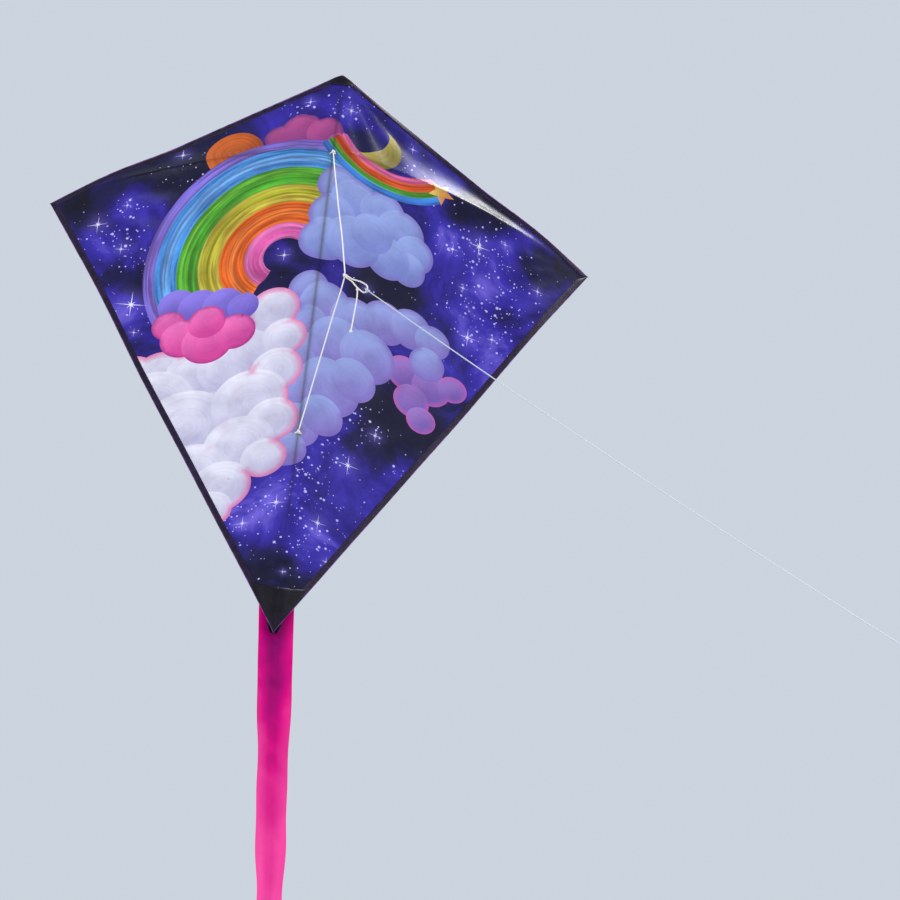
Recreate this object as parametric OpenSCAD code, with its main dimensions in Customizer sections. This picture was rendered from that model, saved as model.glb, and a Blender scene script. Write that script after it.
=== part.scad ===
// Diamond kite in flight: a printed sail on a spine and two bowed spreaders, with its bridle, line and tail.
// X runs to the viewer's right, Y away from the flyer and Z up the spine. The rods' axes cross at the origin.

/* [Sail] */
// Length of the sail down the spine, from the nose corner to the tail corner
sail_len = 762; // [640:2:920]
// Distance from the nose corner to the crossing of the rods
cross_drop = 108; // [88:1:132]
// Length along each spreader from the spine to the side corner
half_span = 365; // [304:1:440]
// Thickness of the sail as modelled
sail_t = 0.4; // [0.3:0.05:0.5]
// Width of the binding sewn round the edge
binding_w = 8; // [6:0.5:10]
// Thickness of the binding, with the sail folded inside it
binding_t = 0.9; // [0.8:0.05:1]
// How far the wind presses each lower panel back
lower_belly = 12; // [0:1:16]
// How far the wind presses each upper panel back
upper_belly = 3; // [0:1:5]
// Half width of the middle strip of the sail that lies over the spine
strip_half_w = 8; // [7:0.5:10]

/* [Rods and fittings] */
// Diameter of the spine and spreader rods
rod_d = 4; // [3:0.25:4.75]
// Running gap round a rod in its fitting
rod_gap = 0.05; // [0.03:0.01:0.1]
// Angle of each spreader behind the flat where it leaves the hub
dihedral = 15.5; // [10:0.5:20]
// Radius that each spreader bows to
bow_radius = 1020; // [850:10:1600]
// Tilt of the bow towards the tail
bow_tilt = 37; // [25:1:45]
// Distance from the nose and tail corners to the ends of the spine
spine_inset = 6; // [5:0.5:9]
// Distance from the side corner to the end of a spreader
spreader_inset = 14; // [12:0.5:20]
// Wall of the soft caps on the rod ends
cap_wall = 0.55; // [0.4:0.05:0.6]
// Depth that a rod goes into its end cap
cap_depth = 9; // [6:0.5:14]
// Wall of the hub in front of the spine
hub_front_wall = 0.7; // [0.6:0.05:0.8]
// Wall of the hub and its sleeves elsewhere
hub_wall = 1.45; // [1:0.05:1.5]
// Height of the hub's barrel above the crossing
hub_up = 12; // [10:0.5:20]
// Length of the soft sleeve that holds a spreader
sleeve_len = 24; // [18:1:36]

/* [Corners] */
// Wall of the rod pockets
pocket_wall = 0.3; // [0.25:0.05:0.4]
// Length of the nose pocket
nose_pocket_len = 30; // [22:1:40]
// Length of the tail pocket
tail_pocket_len = 60; // [40:1:80]
// Length of the side pockets
tip_pocket_len = 46; // [34:1:56]
// Half width of the nose and tail patches
end_patch_half_w = 20; // [15:1:24]

/* [Bridle and line] */
// Diameter of the bridle cord
bridle_d = 1.6; // [1.2:0.1:2]
// Diameter of the flying line
line_d = 1.2; // [0.8:0.1:1.6]
// Width of the slots in the sail for the ties
slot_w = 9; // [9:0.5:11]

/* [Tail] */
// Width of the ribbon
ribbon_w = 40; // [30:1:50]
// Length of the ribbon below its header
ribbon_len = 1200; // [800:10:1600]
// Thickness of the ribbon as modelled
ribbon_t = 0.4; // [0.3:0.05:0.5]
// Height of the ribbon's header above the tail corner
header_rise = 44; // [40:1:50]
// Depth of the stitched header
header_h = 14; // [10:1:16]
// Distance that the ribbon hangs behind the spine's axis
ribbon_back = 9.6; // [9:0.2:14]
// Largest turn of the ribbon about its length, in degrees
ribbon_twist = 40; // [0:5:60]

/* [Hidden] */
$fn = 64;

// Colours
black = "#17121f";
violet = "#3a2a86";
fibre = "#d8d2dc";
vinyl = "#26242c";
white = "#f2f0f4";
pink = "#e5158f";

// Gaps between pieces
fold_gap = 0.5;
seam_gap = 0.15;
layer_gap = 0.25;
strip_gap = 0.7;

// Rods
rod_r = rod_d / 2;
bore_r = rod_r + rod_gap;
cap_r = bore_r + cap_wall;
pocket_ease = 0.2;
pocket_in_r = cap_r + pocket_ease;
pocket_out_r = pocket_in_r + pocket_wall;
sleeve_r = bore_r + hub_wall;
nose_z = cross_drop;
tail_z = cross_drop - sail_len;
spine_top = nose_z - spine_inset;
spine_foot = tail_z + spine_inset;
cap_end = 1.5;

// The middle strip bends round the front of the spine as a shallow arc
hub_front = bore_r + hub_front_wall;
strip_front = hub_front + strip_gap + sail_t / 2;
strip_r = strip_half_w / sin(dihedral);
fold_x = strip_half_w;
fold_y = strip_r * (1 - cos(dihedral)) - strip_front;

// A point on the right spreader's axis, at angle a round its bow
function bow_point(a) =
    let (along = bow_radius * sin(a), off = bow_radius * (1 - cos(a)))
    [along * cos(dihedral) - off * cos(bow_tilt) * sin(dihedral),
     along * sin(dihedral) + off * cos(bow_tilt) * cos(dihedral),
     -off * sin(bow_tilt)];
function bow_angle(s) = s / bow_radius * 180 / PI;
// The angle round the bow at which the spreader's axis is x from the spine
bow_reach = norm([cos(dihedral), cos(bow_tilt) * sin(dihedral)]);
function bow_angle_at(x) =
    asin((x / bow_radius + cos(bow_tilt) * sin(dihedral)) / bow_reach)
    - atan2(cos(bow_tilt) * sin(dihedral), cos(dihedral));
tip = bow_point(bow_angle(half_span));
spar_to_sail = bow_point(bow_angle_at(fold_x)).y - fold_y;

// The right half's outline in front view
top_slope = (tip.z - nose_z) / tip.x;
low_slope = (tip.z - tail_z) / tip.x;
function top_z(x) = nose_z + top_slope * x;
function low_z(x) = tail_z + low_slope * x;
function spar_z(x) = bow_point(bow_angle_at(min(x, tip.x))).z;
top_band = binding_w * norm([1, top_slope]);
low_band = binding_w * norm([1, low_slope]);
function panel_top(x) = top_z(x) - top_band;
function panel_low(x) = low_z(x) + low_band;
mitre_x = (nose_z - tail_z - top_band - low_band) / (low_slope - top_slope);

// How far behind the rods' crossing the sail lies at [x, z] on the right half
function spar_line_y(x) = bow_point(bow_angle_at(min(x, tip.x))).y - spar_to_sail;
function plane_y(x) = fold_y + (tip.y - spar_to_sail - fold_y) * (x - fold_x) / (tip.x - fold_x);
function share_off_spar(x, z) =
    z > spar_z(x) ? min(1, (z - spar_z(x)) / max(1, top_z(x) - spar_z(x)))
                  : min(1, (spar_z(x) - z) / max(1, spar_z(x) - low_z(x)));
function belly(x, z) =
    let (f = max(0, min(1, (x - fold_x) / (tip.x - fold_x))), v = share_off_spar(x, z))
    (z > spar_z(x) ? upper_belly : lower_belly) * sin(180 * v) * pow(4 * f * (1 - f), 1.5);
// The sail stands back from the line over the spreader towards its edges, and lies flat near the side corner
corner_ease = 100;
function smooth(t) = let (c = max(0, min(1, t))) c * c * (3 - 2 * c);
function off_corner(x) = smooth((tip.x - x - tip_pocket_len) / corner_ease);
function ridge(x, z) = (plane_y(x) - spar_line_y(x)) * (1 - pow(1 - share_off_spar(x, z), 1.5));
function sail_y(x, z) = spar_line_y(x) + off_corner(x) * (ridge(x, z) + belly(x, z));
function on_sail(p, back) = [p[0], sail_y(p[0], p[1]) + back, p[1]];

function mix(a, b, t) = a + (b - a) * t;

// A thin closed solid over a grid of points, given as rows of front points and the same rows of back points
module slab(front, back) {
    rows = len(front);
    cols = len(front[0]);
    count = rows * cols;
    points = concat([for (row = front) each row], [for (row = back) each row]);
    faces = concat(
        [for (i = [0:rows - 2], j = [0:cols - 2])
            each [[i * cols + j, i * cols + j + 1, (i + 1) * cols + j + 1],
                  [i * cols + j, (i + 1) * cols + j + 1, (i + 1) * cols + j]]],
        [for (i = [0:rows - 2], j = [0:cols - 2])
            each [[count + i * cols + j, count + (i + 1) * cols + j + 1, count + i * cols + j + 1],
                  [count + i * cols + j, count + (i + 1) * cols + j, count + (i + 1) * cols + j + 1]]],
        [for (j = [0:cols - 2]) [count + j, count + j + 1, j + 1, j]],
        [for (j = [0:cols - 2], last = (rows - 1) * cols)
            [last + j, last + j + 1, count + last + j + 1, count + last + j]],
        [for (i = [0:rows - 2]) [i * cols, (i + 1) * cols, count + (i + 1) * cols, count + i * cols]],
        [for (i = [0:rows - 2], last = cols - 1)
            [(i + 1) * cols + last, i * cols + last, count + i * cols + last, count + (i + 1) * cols + last]]);
    polyhedron(points, faces, convexity = 6);
}

// A thin piece that follows the right half of the sail, from one distance behind it to another
module on_sail_slab(grid, from, to)
    slab([for (row = grid) [for (p = row) on_sail(p, from)]],
         [for (row = grid) [for (p = row) on_sail(p, to)]]);

module right_or_left(side) {
    if (side == "left") mirror([1, 0, 0]) children();
    else children();
}

// Part of a rod or tube of diameter d along the right spreader's bow, between two distances from the spine
module along_bow(from, to, d)
    rotate([0, 0, dihedral])
        rotate([-bow_tilt, 0, 0])
            translate([0, bow_radius, 0])
                rotate([0, 0, bow_angle(from) - 90])
                    rotate_extrude(angle = bow_angle(to - from), $fn = 256)
                        translate([bow_radius, 0]) circle(d = d, $fn = 32);

// A tube of diameter d swept along points, with flat ends
function unit(v) = v / norm(v);
function heading(path, i) = unit(path[min(i + 1, len(path) - 1)] - path[max(i - 1, 0)]);
function square_to(u, t) = unit(u - (u * t) * t);
module cord(path, d, sides = 8) {
    first = heading(path, 0);
    start = square_to(abs(first.z) < 0.9 ? [0, 0, 1] : [1, 0, 0], first);
    last_point = len(path) - 1;
    ups = [for (i = 0, u = start; i <= last_point; i = i + 1, u = square_to(u, heading(path, min(i, last_point)))) u];
    rings = [for (i = [0:last_point], k = [0:sides - 1])
        let (across = cross(heading(path, i), ups[i]), a = 360 * k / sides)
        path[i] + d / 2 * (cos(a) * ups[i] + sin(a) * across)];
    last = last_point * sides;
    sides_faces = [for (i = [0:last_point - 1], k = [0:sides - 1], n = (k + 1) % sides)
        [i * sides + k, (i + 1) * sides + k, (i + 1) * sides + n, i * sides + n]];
    ends = [[for (k = [0:sides - 1]) k], [for (k = [sides - 1:-1:0]) last + k]];
    polyhedron(rings, concat(sides_faces, ends), convexity = 4);
}

// ---- Rods, hub and caps ----

// The hub's barrel stands out beyond its sleeves, and its horns are slimmer than they are
hub_over = 0.5;
hub_below = 0.7;
horn_under = 0.6;
horn_end = 7;
horn_gap = 3.5;
spreader_back = 2;

module spine_rod() color(fibre)
    translate([0, 0, spine_foot]) cylinder(r = rod_r, h = spine_top - spine_foot);

// A cap with its open end down at the origin and its closed end above
module rod_cap()
    difference() {
        cylinder(r = cap_r, h = cap_depth + cap_end);
        translate([0, 0, -1]) cylinder(r = bore_r, h = cap_depth + rod_gap + 1);
    }

module nose_cap() color(vinyl)
    translate([0, 0, spine_top - cap_depth]) rod_cap();

module tail_cap() color(vinyl)
    translate([0, 0, spine_foot + cap_depth]) mirror([0, 0, 1]) rod_cap();

hub_r = sleeve_r + hub_over;
hub_down = sleeve_r + hub_below;
horn_r = sleeve_r - horn_under;
sleeve_start = horn_end + horn_gap;
module centre_hub() color(vinyl)
    difference() {
        union() {
            translate([0, 0, -hub_down]) cylinder(r = hub_r, h = hub_up + hub_down);
            along_bow(0, horn_end, 2 * horn_r);
            mirror([1, 0, 0]) along_bow(0, horn_end, 2 * horn_r);
        }
        translate([0, 0, -hub_down - 1]) cylinder(r = bore_r, h = hub_up + hub_down + 2);
        translate([-hub_r - 1, -hub_front - 2 * hub_r, -hub_down - 1])
            cube([2 * hub_r + 2, 2 * hub_r, hub_up + hub_down + 2]);
    }

spreader_start = sleeve_start + spreader_back;
spreader_end = half_span - spreader_inset;
module spreader(side) color(fibre)
    right_or_left(side) along_bow(spreader_start, spreader_end, rod_d);

module hub_sleeve(side) color(vinyl)
    right_or_left(side)
        difference() {
            along_bow(sleeve_start, sleeve_start + sleeve_len, 2 * sleeve_r);
            along_bow(sleeve_start - 1, sleeve_start + sleeve_len + 1, 2 * bore_r);
        }

module tip_cap(side) color(vinyl)
    right_or_left(side)
        difference() {
            along_bow(spreader_end - cap_depth, spreader_end + cap_end, 2 * cap_r);
            along_bow(spreader_end - cap_depth - 1, spreader_end + rod_gap, 2 * bore_r);
        }

// ---- Sail ----

// A layer that follows the middle strip, from one distance behind its centre to another, between two heights
module strip_layer(half_w, from, to, low, high)
    translate([0, 0, low])
        linear_extrude(high - low)
            intersection() {
                translate([0, strip_r - strip_front])
                    difference() {
                        circle(r = strip_r - from, $fn = 256);
                        circle(r = strip_r - to, $fn = 256);
                    }
                translate([-half_w, -strip_front - 2]) square([2 * half_w, 2 + strip_r / 2]);
            }

upper_tie_drop = 5.5;
lower_tie_drop = 394;
slot_h = bridle_d + 1;
module tie_slot(drop)
    translate([-slot_w / 2, -2 * strip_front, -drop - slot_h / 2]) cube([slot_w, 2 * strip_front, slot_h]);

module sail_spine_strip() color(violet)
    difference() {
        intersection() {
            strip_layer(strip_half_w, -sail_t / 2, sail_t / 2, tail_z, nose_z);
            rotate([90, 0, 0])
                linear_extrude(4 * strip_front, center = true)
                    polygon([[0, tail_z],
                             [strip_half_w, low_z(strip_half_w)], [strip_half_w, top_z(strip_half_w)],
                             [0, nose_z],
                             [-strip_half_w, top_z(strip_half_w)], [-strip_half_w, low_z(strip_half_w)]]);
        }
        tie_slot(upper_tie_drop);
        tie_slot(lower_tie_drop);
    }

// The panel inside the binding, with a line of points along the spreader
panel_columns = 20;
lower_rows = 14;
upper_rows = 6;
panel_start = fold_x + fold_gap;
mitre_gap = 3;
panel_end = mitre_x - mitre_gap;
function panel_mid(x) = min(spar_z(x), mix(panel_low(x), panel_top(x), 0.92));
function panel_column(x) = concat(
    [for (j = [0:lower_rows - 1]) [x, mix(panel_low(x) + seam_gap, panel_mid(x), j / lower_rows)]],
    [for (j = [0:upper_rows]) [x, mix(panel_mid(x), panel_top(x) - seam_gap, j / upper_rows)]]);
module sail_half(side) color(violet)
    right_or_left(side)
        on_sail_slab([for (i = [0:panel_columns]) panel_column(mix(panel_start, panel_end, i / panel_columns))],
                     -sail_t / 2, sail_t / 2);

// One side of the binding, between its outer edge and its inner edge, mitred at the side corner
binding_columns = 18;
function band_column(t, edge_z, inner_z, up) =
    let (outer_x = mix(panel_start, tip.x, t), inner_x = mix(panel_start, mitre_x, t), gap = up * seam_gap * t)
    let (outer = [outer_x, edge_z(outer_x) + gap], inner = [inner_x, inner_z(inner_x) + gap])
    up > 0 ? [inner, mix(inner, outer, 0.5), outer] : [outer, mix(inner, outer, 0.5), inner];
module binding(edge_z, inner_z, up)
    on_sail_slab([for (i = [0:binding_columns]) band_column(i / binding_columns, edge_z, inner_z, up)],
                 -binding_t / 2, binding_t / 2);
module upper_binding(side) color(black)
    right_or_left(side) binding(function(x) top_z(x), function(x) panel_top(x), 1);
module lower_binding(side) color(black)
    right_or_left(side) binding(function(x) low_z(x), function(x) panel_low(x), -1);

// ---- Corner patches and pockets ----

patch_from = binding_t / 2 + layer_gap;
patch_to = patch_from + pocket_wall;
patch_edge = 1;
patch_columns = 12;
patch_rows = 4;
module patch(from_x, to_x, low, high)
    on_sail_slab([for (i = [0:patch_columns]) let (x = mix(from_x, to_x, i / patch_columns))
                     [for (j = [0:patch_rows]) [x, mix(low(x), high(x), j / patch_rows)]]],
                 patch_from, patch_to);

module nose_patch(side) color(black)
    right_or_left(side)
        patch(panel_start, end_patch_half_w, function(x) nose_z - nose_pocket_len,
              function(x) top_z(x) - patch_edge);

module tail_patch(side) color(black)
    right_or_left(side)
        patch(panel_start, end_patch_half_w, function(x) low_z(x) + patch_edge,
              function(x) tail_z + tail_pocket_len);

tip_patch_drop = 24;
tip_patch_end = 6;
module tip_patch(side) color(black)
    right_or_left(side)
        patch(tip.x - tip_pocket_len, tip.x - tip_patch_end,
              function(x) max(low_z(x) + patch_edge, spar_z(x) - tip_patch_drop),
              function(x) top_z(x) - patch_edge);

pocket_end_gap = 1;
pocket_end_wall = 1;
module tip_pocket(side) color(black)
    right_or_left(side)
        difference() {
            inside = spreader_end + cap_end + pocket_end_gap;
            along_bow(half_span - tip_pocket_len, inside + pocket_end_wall, 2 * pocket_out_r);
            along_bow(half_span - tip_pocket_len - 1, inside, 2 * pocket_in_r);
        }

pocket_inset = 2;
module nose_pocket() color(black)
    difference() {
        translate([0, 0, nose_z - nose_pocket_len])
            cylinder(r = pocket_out_r, h = nose_pocket_len - pocket_inset);
        translate([0, 0, nose_z - nose_pocket_len - pocket_end_wall])
            cylinder(r = pocket_in_r, h = nose_pocket_len - pocket_inset);
    }

module tail_pocket() color(black)
    difference() {
        translate([0, 0, tail_z + pocket_inset])
            cylinder(r = pocket_out_r, h = tail_pocket_len - pocket_inset);
        translate([0, 0, tail_z + pocket_inset + pocket_end_wall])
            cylinder(r = pocket_in_r, h = tail_pocket_len);
    }

// ---- Bridle ----

cord_r = bridle_d / 2;
tie_gap = 0.1;
// The tie is a ring of cord round the spine that comes through the slot to the front of the sail
tie_back = rod_r + tie_gap + cord_r;
tie_front = strip_front + sail_t / 2 + tie_gap + cord_r;
tie_r = (tie_back + tie_front) / 2;
tie_knot_r = 2.2;
tie_knot_press = 0.9;
tie_knot_y = -tie_front - cord_r - tie_knot_r + tie_knot_press;
module tie(drop) color(white)
    translate([0, 0, -drop]) {
        translate([0, tie_back - tie_r, 0])
            rotate_extrude() translate([tie_r, 0]) circle(r = cord_r, $fn = 24);
        translate([0, tie_knot_y, 0]) sphere(r = tie_knot_r, $fn = 32);
    }

patch_drop = 8;
module tie_patch(drop) color(black)
    difference() {
        strip_layer(strip_half_w - patch_edge, sail_t / 2 + tie_gap, sail_t / 2 + tie_gap + pocket_wall,
                    -drop - patch_drop, -drop + patch_drop);
        tie_slot(drop);
    }

// The tow point, the direction of the flying line from it, and the upward direction square to that line
tow = [30, -69, -215];
pull = unit([0.337, -0.692, -0.638]);
side_axis = unit(cross([pull.x, pull.y, 0], [0, 0, 1]));
rise = cross(side_axis, pull);
function from_tow(along, up) = tow + along * pull + up * rise;

upper_leg_route = [[0.3, -7.55, -7.9], [2.5, -12.5, -25], [5, -18, -43], [9, -26, -70], [13, -35, -98],
                   [18, -44.5, -129], [22.5, -54, -159], [26, -61, -185], [28.5, -66, -203], [29.8, -68.6, -213.2]];
lower_leg_route = [[29.8, -68.6, -216.8], [28, -64, -229], [25.5, -59, -243], [21.5, -51.5, -265], [17, -42, -292],
                   [12.5, -33, -319], [8, -23.5, -346], [4.5, -16, -367.5], [2, -11, -382], [0.4, -7.65, -391.6]];
tow_knot_r = 2.8;
module bridle_knot() color(white)
    translate(tow) sphere(r = tow_knot_r, $fn = 32);

// Half of the tow loop, as distance along the pull and half width, from the knot out to the far end
tow_loop_half = [[4, 1.1], [14, 1.1], [26, 1.3], [36, 2.6], [46, 3.8], [56, 4.4], [65, 4.6], [71, 4.2], [74.2, 2.9],
                 [75, 1]];
tow_loop_end = 75;
tow_loop_route = concat([for (p = tow_loop_half) from_tow(p[0], p[1])],
                        [for (i = [len(tow_loop_half) - 1:-1:0])
                            from_tow(tow_loop_half[i][0], -tow_loop_half[i][1])]);

tag_at = from_tow(50, -5);
tag_knot_r = 1.7;
tag_route = [[45.4, -100.8, -252.9], [45.8, -101.4, -262], [45.5, -102, -272], [45, -102, -281], [44.5, -101.5, -290],
             [44, -101, -299], [43.5, -100.5, -306.5]];
tag_stopper_r = 1.8;
tag_stopper_at = [43.4, -100.3, -307.6];

// The hitch is a ring of line round the end of the tow loop, with its knot beyond it
hitch_ring_r = 1.8;
hitch_knot_r = 2;
hitch_knot_at = 3.4;
hitch_at = from_tow(tow_loop_end, 0);
function along_line(s) = hitch_at + s * pull;
line_start = 4.4;
line_end = 1382;
line_steps = 16;
line_sag = 6;
line_route = [for (i = [0:line_steps]) let (t = i / line_steps)
    along_line(mix(line_start, line_end, t)) - [0, 0, line_sag * 4 * t * (1 - t)]];
end_loop_half = [[3, 1], [13, 2.6], [24, 6], [34, 8], [43, 7.4], [49, 4.6], [51.5, 1.6]];
end_knot_r = 2.4;
end_knot_at = line_end + 1.5;
end_loop_route = concat(
    [for (p = end_loop_half) along_line(line_end + p[0]) + p[1] * rise],
    [for (i = [len(end_loop_half) - 1:-1:0])
        along_line(line_end + end_loop_half[i][0]) - end_loop_half[i][1] * rise]);

module tow_loop() color(white) cord(tow_loop_route, bridle_d);
module tag_knot() color(white) translate(tag_at) sphere(r = tag_knot_r, $fn = 32);
module tag_cord() color(white) cord(tag_route, bridle_d);
module tag_stopper() color(white) translate(tag_stopper_at) sphere(r = tag_stopper_r, $fn = 32);

pull_turn = atan2(pull.y, pull.x);
pull_dip = asin(-pull.z);
module line_hitch() color(white) {
    translate(hitch_at)
        rotate([0, 0, pull_turn]) rotate([0, pull_dip, 0])
            rotate_extrude() translate([hitch_ring_r, 0]) circle(r = line_d / 2, $fn = 24);
    translate(along_line(hitch_knot_at)) sphere(r = hitch_knot_r, $fn = 32);
}
module flying_line() color(white) cord(line_route, line_d);
module line_end_knot() color(white) translate(along_line(end_knot_at)) sphere(r = end_knot_r, $fn = 32);
module line_end_loop() color(white) cord(end_loop_route, line_d);

// ---- Tail ----

ribbon_top = tail_z + header_rise;
ribbon_lean = 0.087;
ribbon_stream = 0.03;
ribbon_wave = 12;
ribbon_wave_len = 700;
twist_len = 1800;
function ribbon_centre(s) =
    [ribbon_lean * s,
     ribbon_back + ribbon_stream * s + ribbon_wave * s / ribbon_len * sin(360 * s / ribbon_wave_len),
     ribbon_top - s];
function ribbon_turn(s) = ribbon_twist * sin(360 * s / twist_len);
function ribbon_across(s) = [cos(ribbon_turn(s)), sin(ribbon_turn(s)), 0];
function ribbon_back_way(s) = [-sin(ribbon_turn(s)), cos(ribbon_turn(s)), 0];
function ribbon_row(s, w, back) =
    [for (k = [-1:0.5:1]) ribbon_centre(s) + k * w / 2 * ribbon_across(s) + back * ribbon_back_way(s)];

ribbon_joints = [270, 700];
ribbon_joint_gap = 0.8;
ribbon_row_step = 32;
module ribbon_part(from, to) color(pink) {
    rows = ceil((to - from) / ribbon_row_step);
    stations = [for (i = [rows:-1:0]) mix(from, to, i / rows)];
    front = [for (s = stations) ribbon_row(s, ribbon_w, -ribbon_t / 2)];
    back = [for (s = stations) ribbon_row(s, ribbon_w, ribbon_t / 2)];
    slab([for (k = [0:4]) [for (row = front) row[k]]], [for (k = [0:4]) [for (row = back) row[k]]]);
}

header_t = 1;
module ribbon_header() color(pink)
    translate([-ribbon_w / 2, ribbon_back - header_t / 2, ribbon_top]) cube([ribbon_w, header_t, header_h]);

tab_w = 10;
tab_h = 8;
tab_gap = 0.1;
module tail_tab() color(black) {
    from = pocket_out_r + tab_gap;
    to = ribbon_back - header_t / 2 - tab_gap;
    translate([-tab_w / 2, from, ribbon_top + (header_h - tab_h) / 2]) cube([tab_w, to - from, tab_h]);
}

spine_rod();
nose_cap();
tail_cap();
centre_hub();
sail_spine_strip();
nose_pocket();
tail_pocket();
tie_patch(upper_tie_drop);  // upper_tie_patch
tie_patch(lower_tie_drop);  // lower_tie_patch
tie(upper_tie_drop);  // upper_tie
tie(lower_tie_drop);  // lower_tie
tail_tab();
ribbon_header();
for (side = ["left", "right"]) {
    sail_half(side);
    upper_binding(side);
    lower_binding(side);
    spreader(side);
    hub_sleeve(side);
    tip_cap(side);
    tip_pocket(side);
    tip_patch(side);
    nose_patch(side);
    tail_patch(side);
}
color(white) cord(upper_leg_route, bridle_d);  // bridle_upper_leg
color(white) cord(lower_leg_route, bridle_d);  // bridle_lower_leg
bridle_knot();
tow_loop();
tag_knot();
tag_cord();
tag_stopper();
line_hitch();
flying_line();
line_end_knot();
line_end_loop();
ribbon_part(ribbon_joint_gap, ribbon_joints[0] - ribbon_joint_gap);  // ribbon_upper
ribbon_part(ribbon_joints[0] + ribbon_joint_gap, ribbon_joints[1] - ribbon_joint_gap);  // ribbon_middle
ribbon_part(ribbon_joints[1] + ribbon_joint_gap, ribbon_len);  // ribbon_lower
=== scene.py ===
import math

import bmesh
import bpy
import numpy as np
from mathutils import Matrix, Vector
from mathutils.geometry import delaunay_2d_cdt


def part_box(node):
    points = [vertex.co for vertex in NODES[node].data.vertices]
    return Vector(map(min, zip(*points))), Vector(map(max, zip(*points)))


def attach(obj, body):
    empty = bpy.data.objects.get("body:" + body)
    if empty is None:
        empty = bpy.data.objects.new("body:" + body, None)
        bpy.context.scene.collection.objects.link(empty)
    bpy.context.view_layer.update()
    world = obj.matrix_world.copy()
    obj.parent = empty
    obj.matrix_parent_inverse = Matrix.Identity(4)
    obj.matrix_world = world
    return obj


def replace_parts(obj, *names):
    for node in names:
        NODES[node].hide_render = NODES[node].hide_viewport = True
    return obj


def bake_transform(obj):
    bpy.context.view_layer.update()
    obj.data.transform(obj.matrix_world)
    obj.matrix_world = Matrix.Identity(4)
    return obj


bl_info = {
    "name": "Diamond Kite",
    "version": (1, 0, 0),
    "blender": (4, 5, 0),
    "location": "3D View > Sidebar > Kite",
    "description": "Printed sail, binding, cords, ribbon tail and finishes for a diamond kite",
    "category": "Add Mesh",
}

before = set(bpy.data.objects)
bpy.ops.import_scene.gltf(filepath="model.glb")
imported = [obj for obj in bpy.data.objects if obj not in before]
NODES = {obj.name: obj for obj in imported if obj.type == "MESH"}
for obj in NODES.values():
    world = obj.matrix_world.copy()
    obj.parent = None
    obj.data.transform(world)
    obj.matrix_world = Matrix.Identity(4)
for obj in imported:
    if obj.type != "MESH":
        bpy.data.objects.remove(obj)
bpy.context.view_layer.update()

MM = 0.001
SIDES = {"left": -1, "right": 1}

# ---- The kite's shape, in millimetres, in the frame's own axes ----

STRIP_LOW, STRIP_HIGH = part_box("sail_spine_strip")
NOSE_Z = STRIP_HIGH.z / MM
TAIL_Z = STRIP_LOW.z / MM
STRIP_HALF = STRIP_HIGH.x / MM
STRIP_FRONT = -(STRIP_LOW.y / MM + 0.2)
DIHEDRAL = math.radians(15.5)
BOW_RADIUS = 1020.0
BOW_TILT = math.radians(37)
HALF_SPAN = 365.0
UPPER_BELLY = 3.0
LOWER_BELLY = 12.0
TIP_POCKET_LEN = 46.0
CORNER_EASE = 100.0
STRIP_RADIUS = STRIP_HALF / math.sin(DIHEDRAL)
FOLD_Y = STRIP_RADIUS * (1 - math.cos(DIHEDRAL)) - STRIP_FRONT
BOW_LEAN = math.cos(BOW_TILT) * math.sin(DIHEDRAL)
BOW_REACH = math.hypot(math.cos(DIHEDRAL), BOW_LEAN)


def bow_point(angle):
    """A point on the right spreader's axis, at an angle round its bow."""
    along = BOW_RADIUS * np.sin(angle)
    off = BOW_RADIUS * (1 - np.cos(angle))
    x = along * math.cos(DIHEDRAL) - off * BOW_LEAN
    y = along * math.sin(DIHEDRAL) + off * math.cos(BOW_TILT) * math.cos(DIHEDRAL)
    return x, y, -off * math.sin(BOW_TILT)


def bow_angle_at(x):
    return np.arcsin((x / BOW_RADIUS + BOW_LEAN) / BOW_REACH) - math.atan2(BOW_LEAN, math.cos(DIHEDRAL))


TIP_X, TIP_Y, TIP_Z = (float(c) for c in bow_point(HALF_SPAN / BOW_RADIUS))
SPAR_TO_SAIL = float(bow_point(bow_angle_at(STRIP_HALF))[1]) - FOLD_Y
TOP_SLOPE = (TIP_Z - NOSE_Z) / TIP_X
LOW_SLOPE = (TIP_Z - TAIL_Z) / TIP_X


def smooth(t):
    t = np.clip(t, 0, 1)
    return t * t * (3 - 2 * t)


def top_z(x):
    return NOSE_Z + TOP_SLOPE * np.abs(x)


def low_z(x):
    return TAIL_Z + LOW_SLOPE * np.abs(x)


def spar_z(x):
    return bow_point(bow_angle_at(np.minimum(np.abs(x), TIP_X)))[2]


def wrinkle(x, z):
    """Small folds that run from the corners and along the spreaders, where the cloth is pulled tight."""
    from_nose = np.hypot(x, z - NOSE_Z)
    nose_folds = np.sin(22 * np.arctan2(x, NOSE_Z - z) + 0.7) * np.exp(-((from_nose - 75) / 55) ** 2)
    from_tail = np.hypot(x, z - TAIL_Z)
    tail_folds = np.sin(30 * np.arctan2(x, z - TAIL_Z) + 1.1) * np.exp(-((from_tail - 120) / 90) ** 2)
    from_tip = np.hypot(np.abs(x) - TIP_X, z - TIP_Z)
    spread = np.arctan2(z - TIP_Z, TIP_X + 1 - np.abs(x))
    tip_folds = np.sin(24 * spread + np.sign(x)) * np.exp(-((from_tip - 110) / 70) ** 2)
    drift = np.sin(x / 31 + z / 57 + 0.6) * np.sin(z / 43 - x / 71)
    off_middle = smooth((np.abs(x) - 6) / 20)
    slant = np.sin((z + 0.6 * np.abs(x)) / 17 + np.sin(x / 60)) * np.exp(-((top_z(x) - z - 26) / 20) ** 2)
    hem_folds = slant * smooth((np.abs(x) - 60) / 60) * smooth((TIP_X - 70 - np.abs(x)) / 60)
    corner_folds = 1.2 * nose_folds + 1.1 * tail_folds + 0.7 * tip_folds
    return off_middle * (corner_folds + 0.7 * drift + 0.5 * hem_folds)


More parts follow.
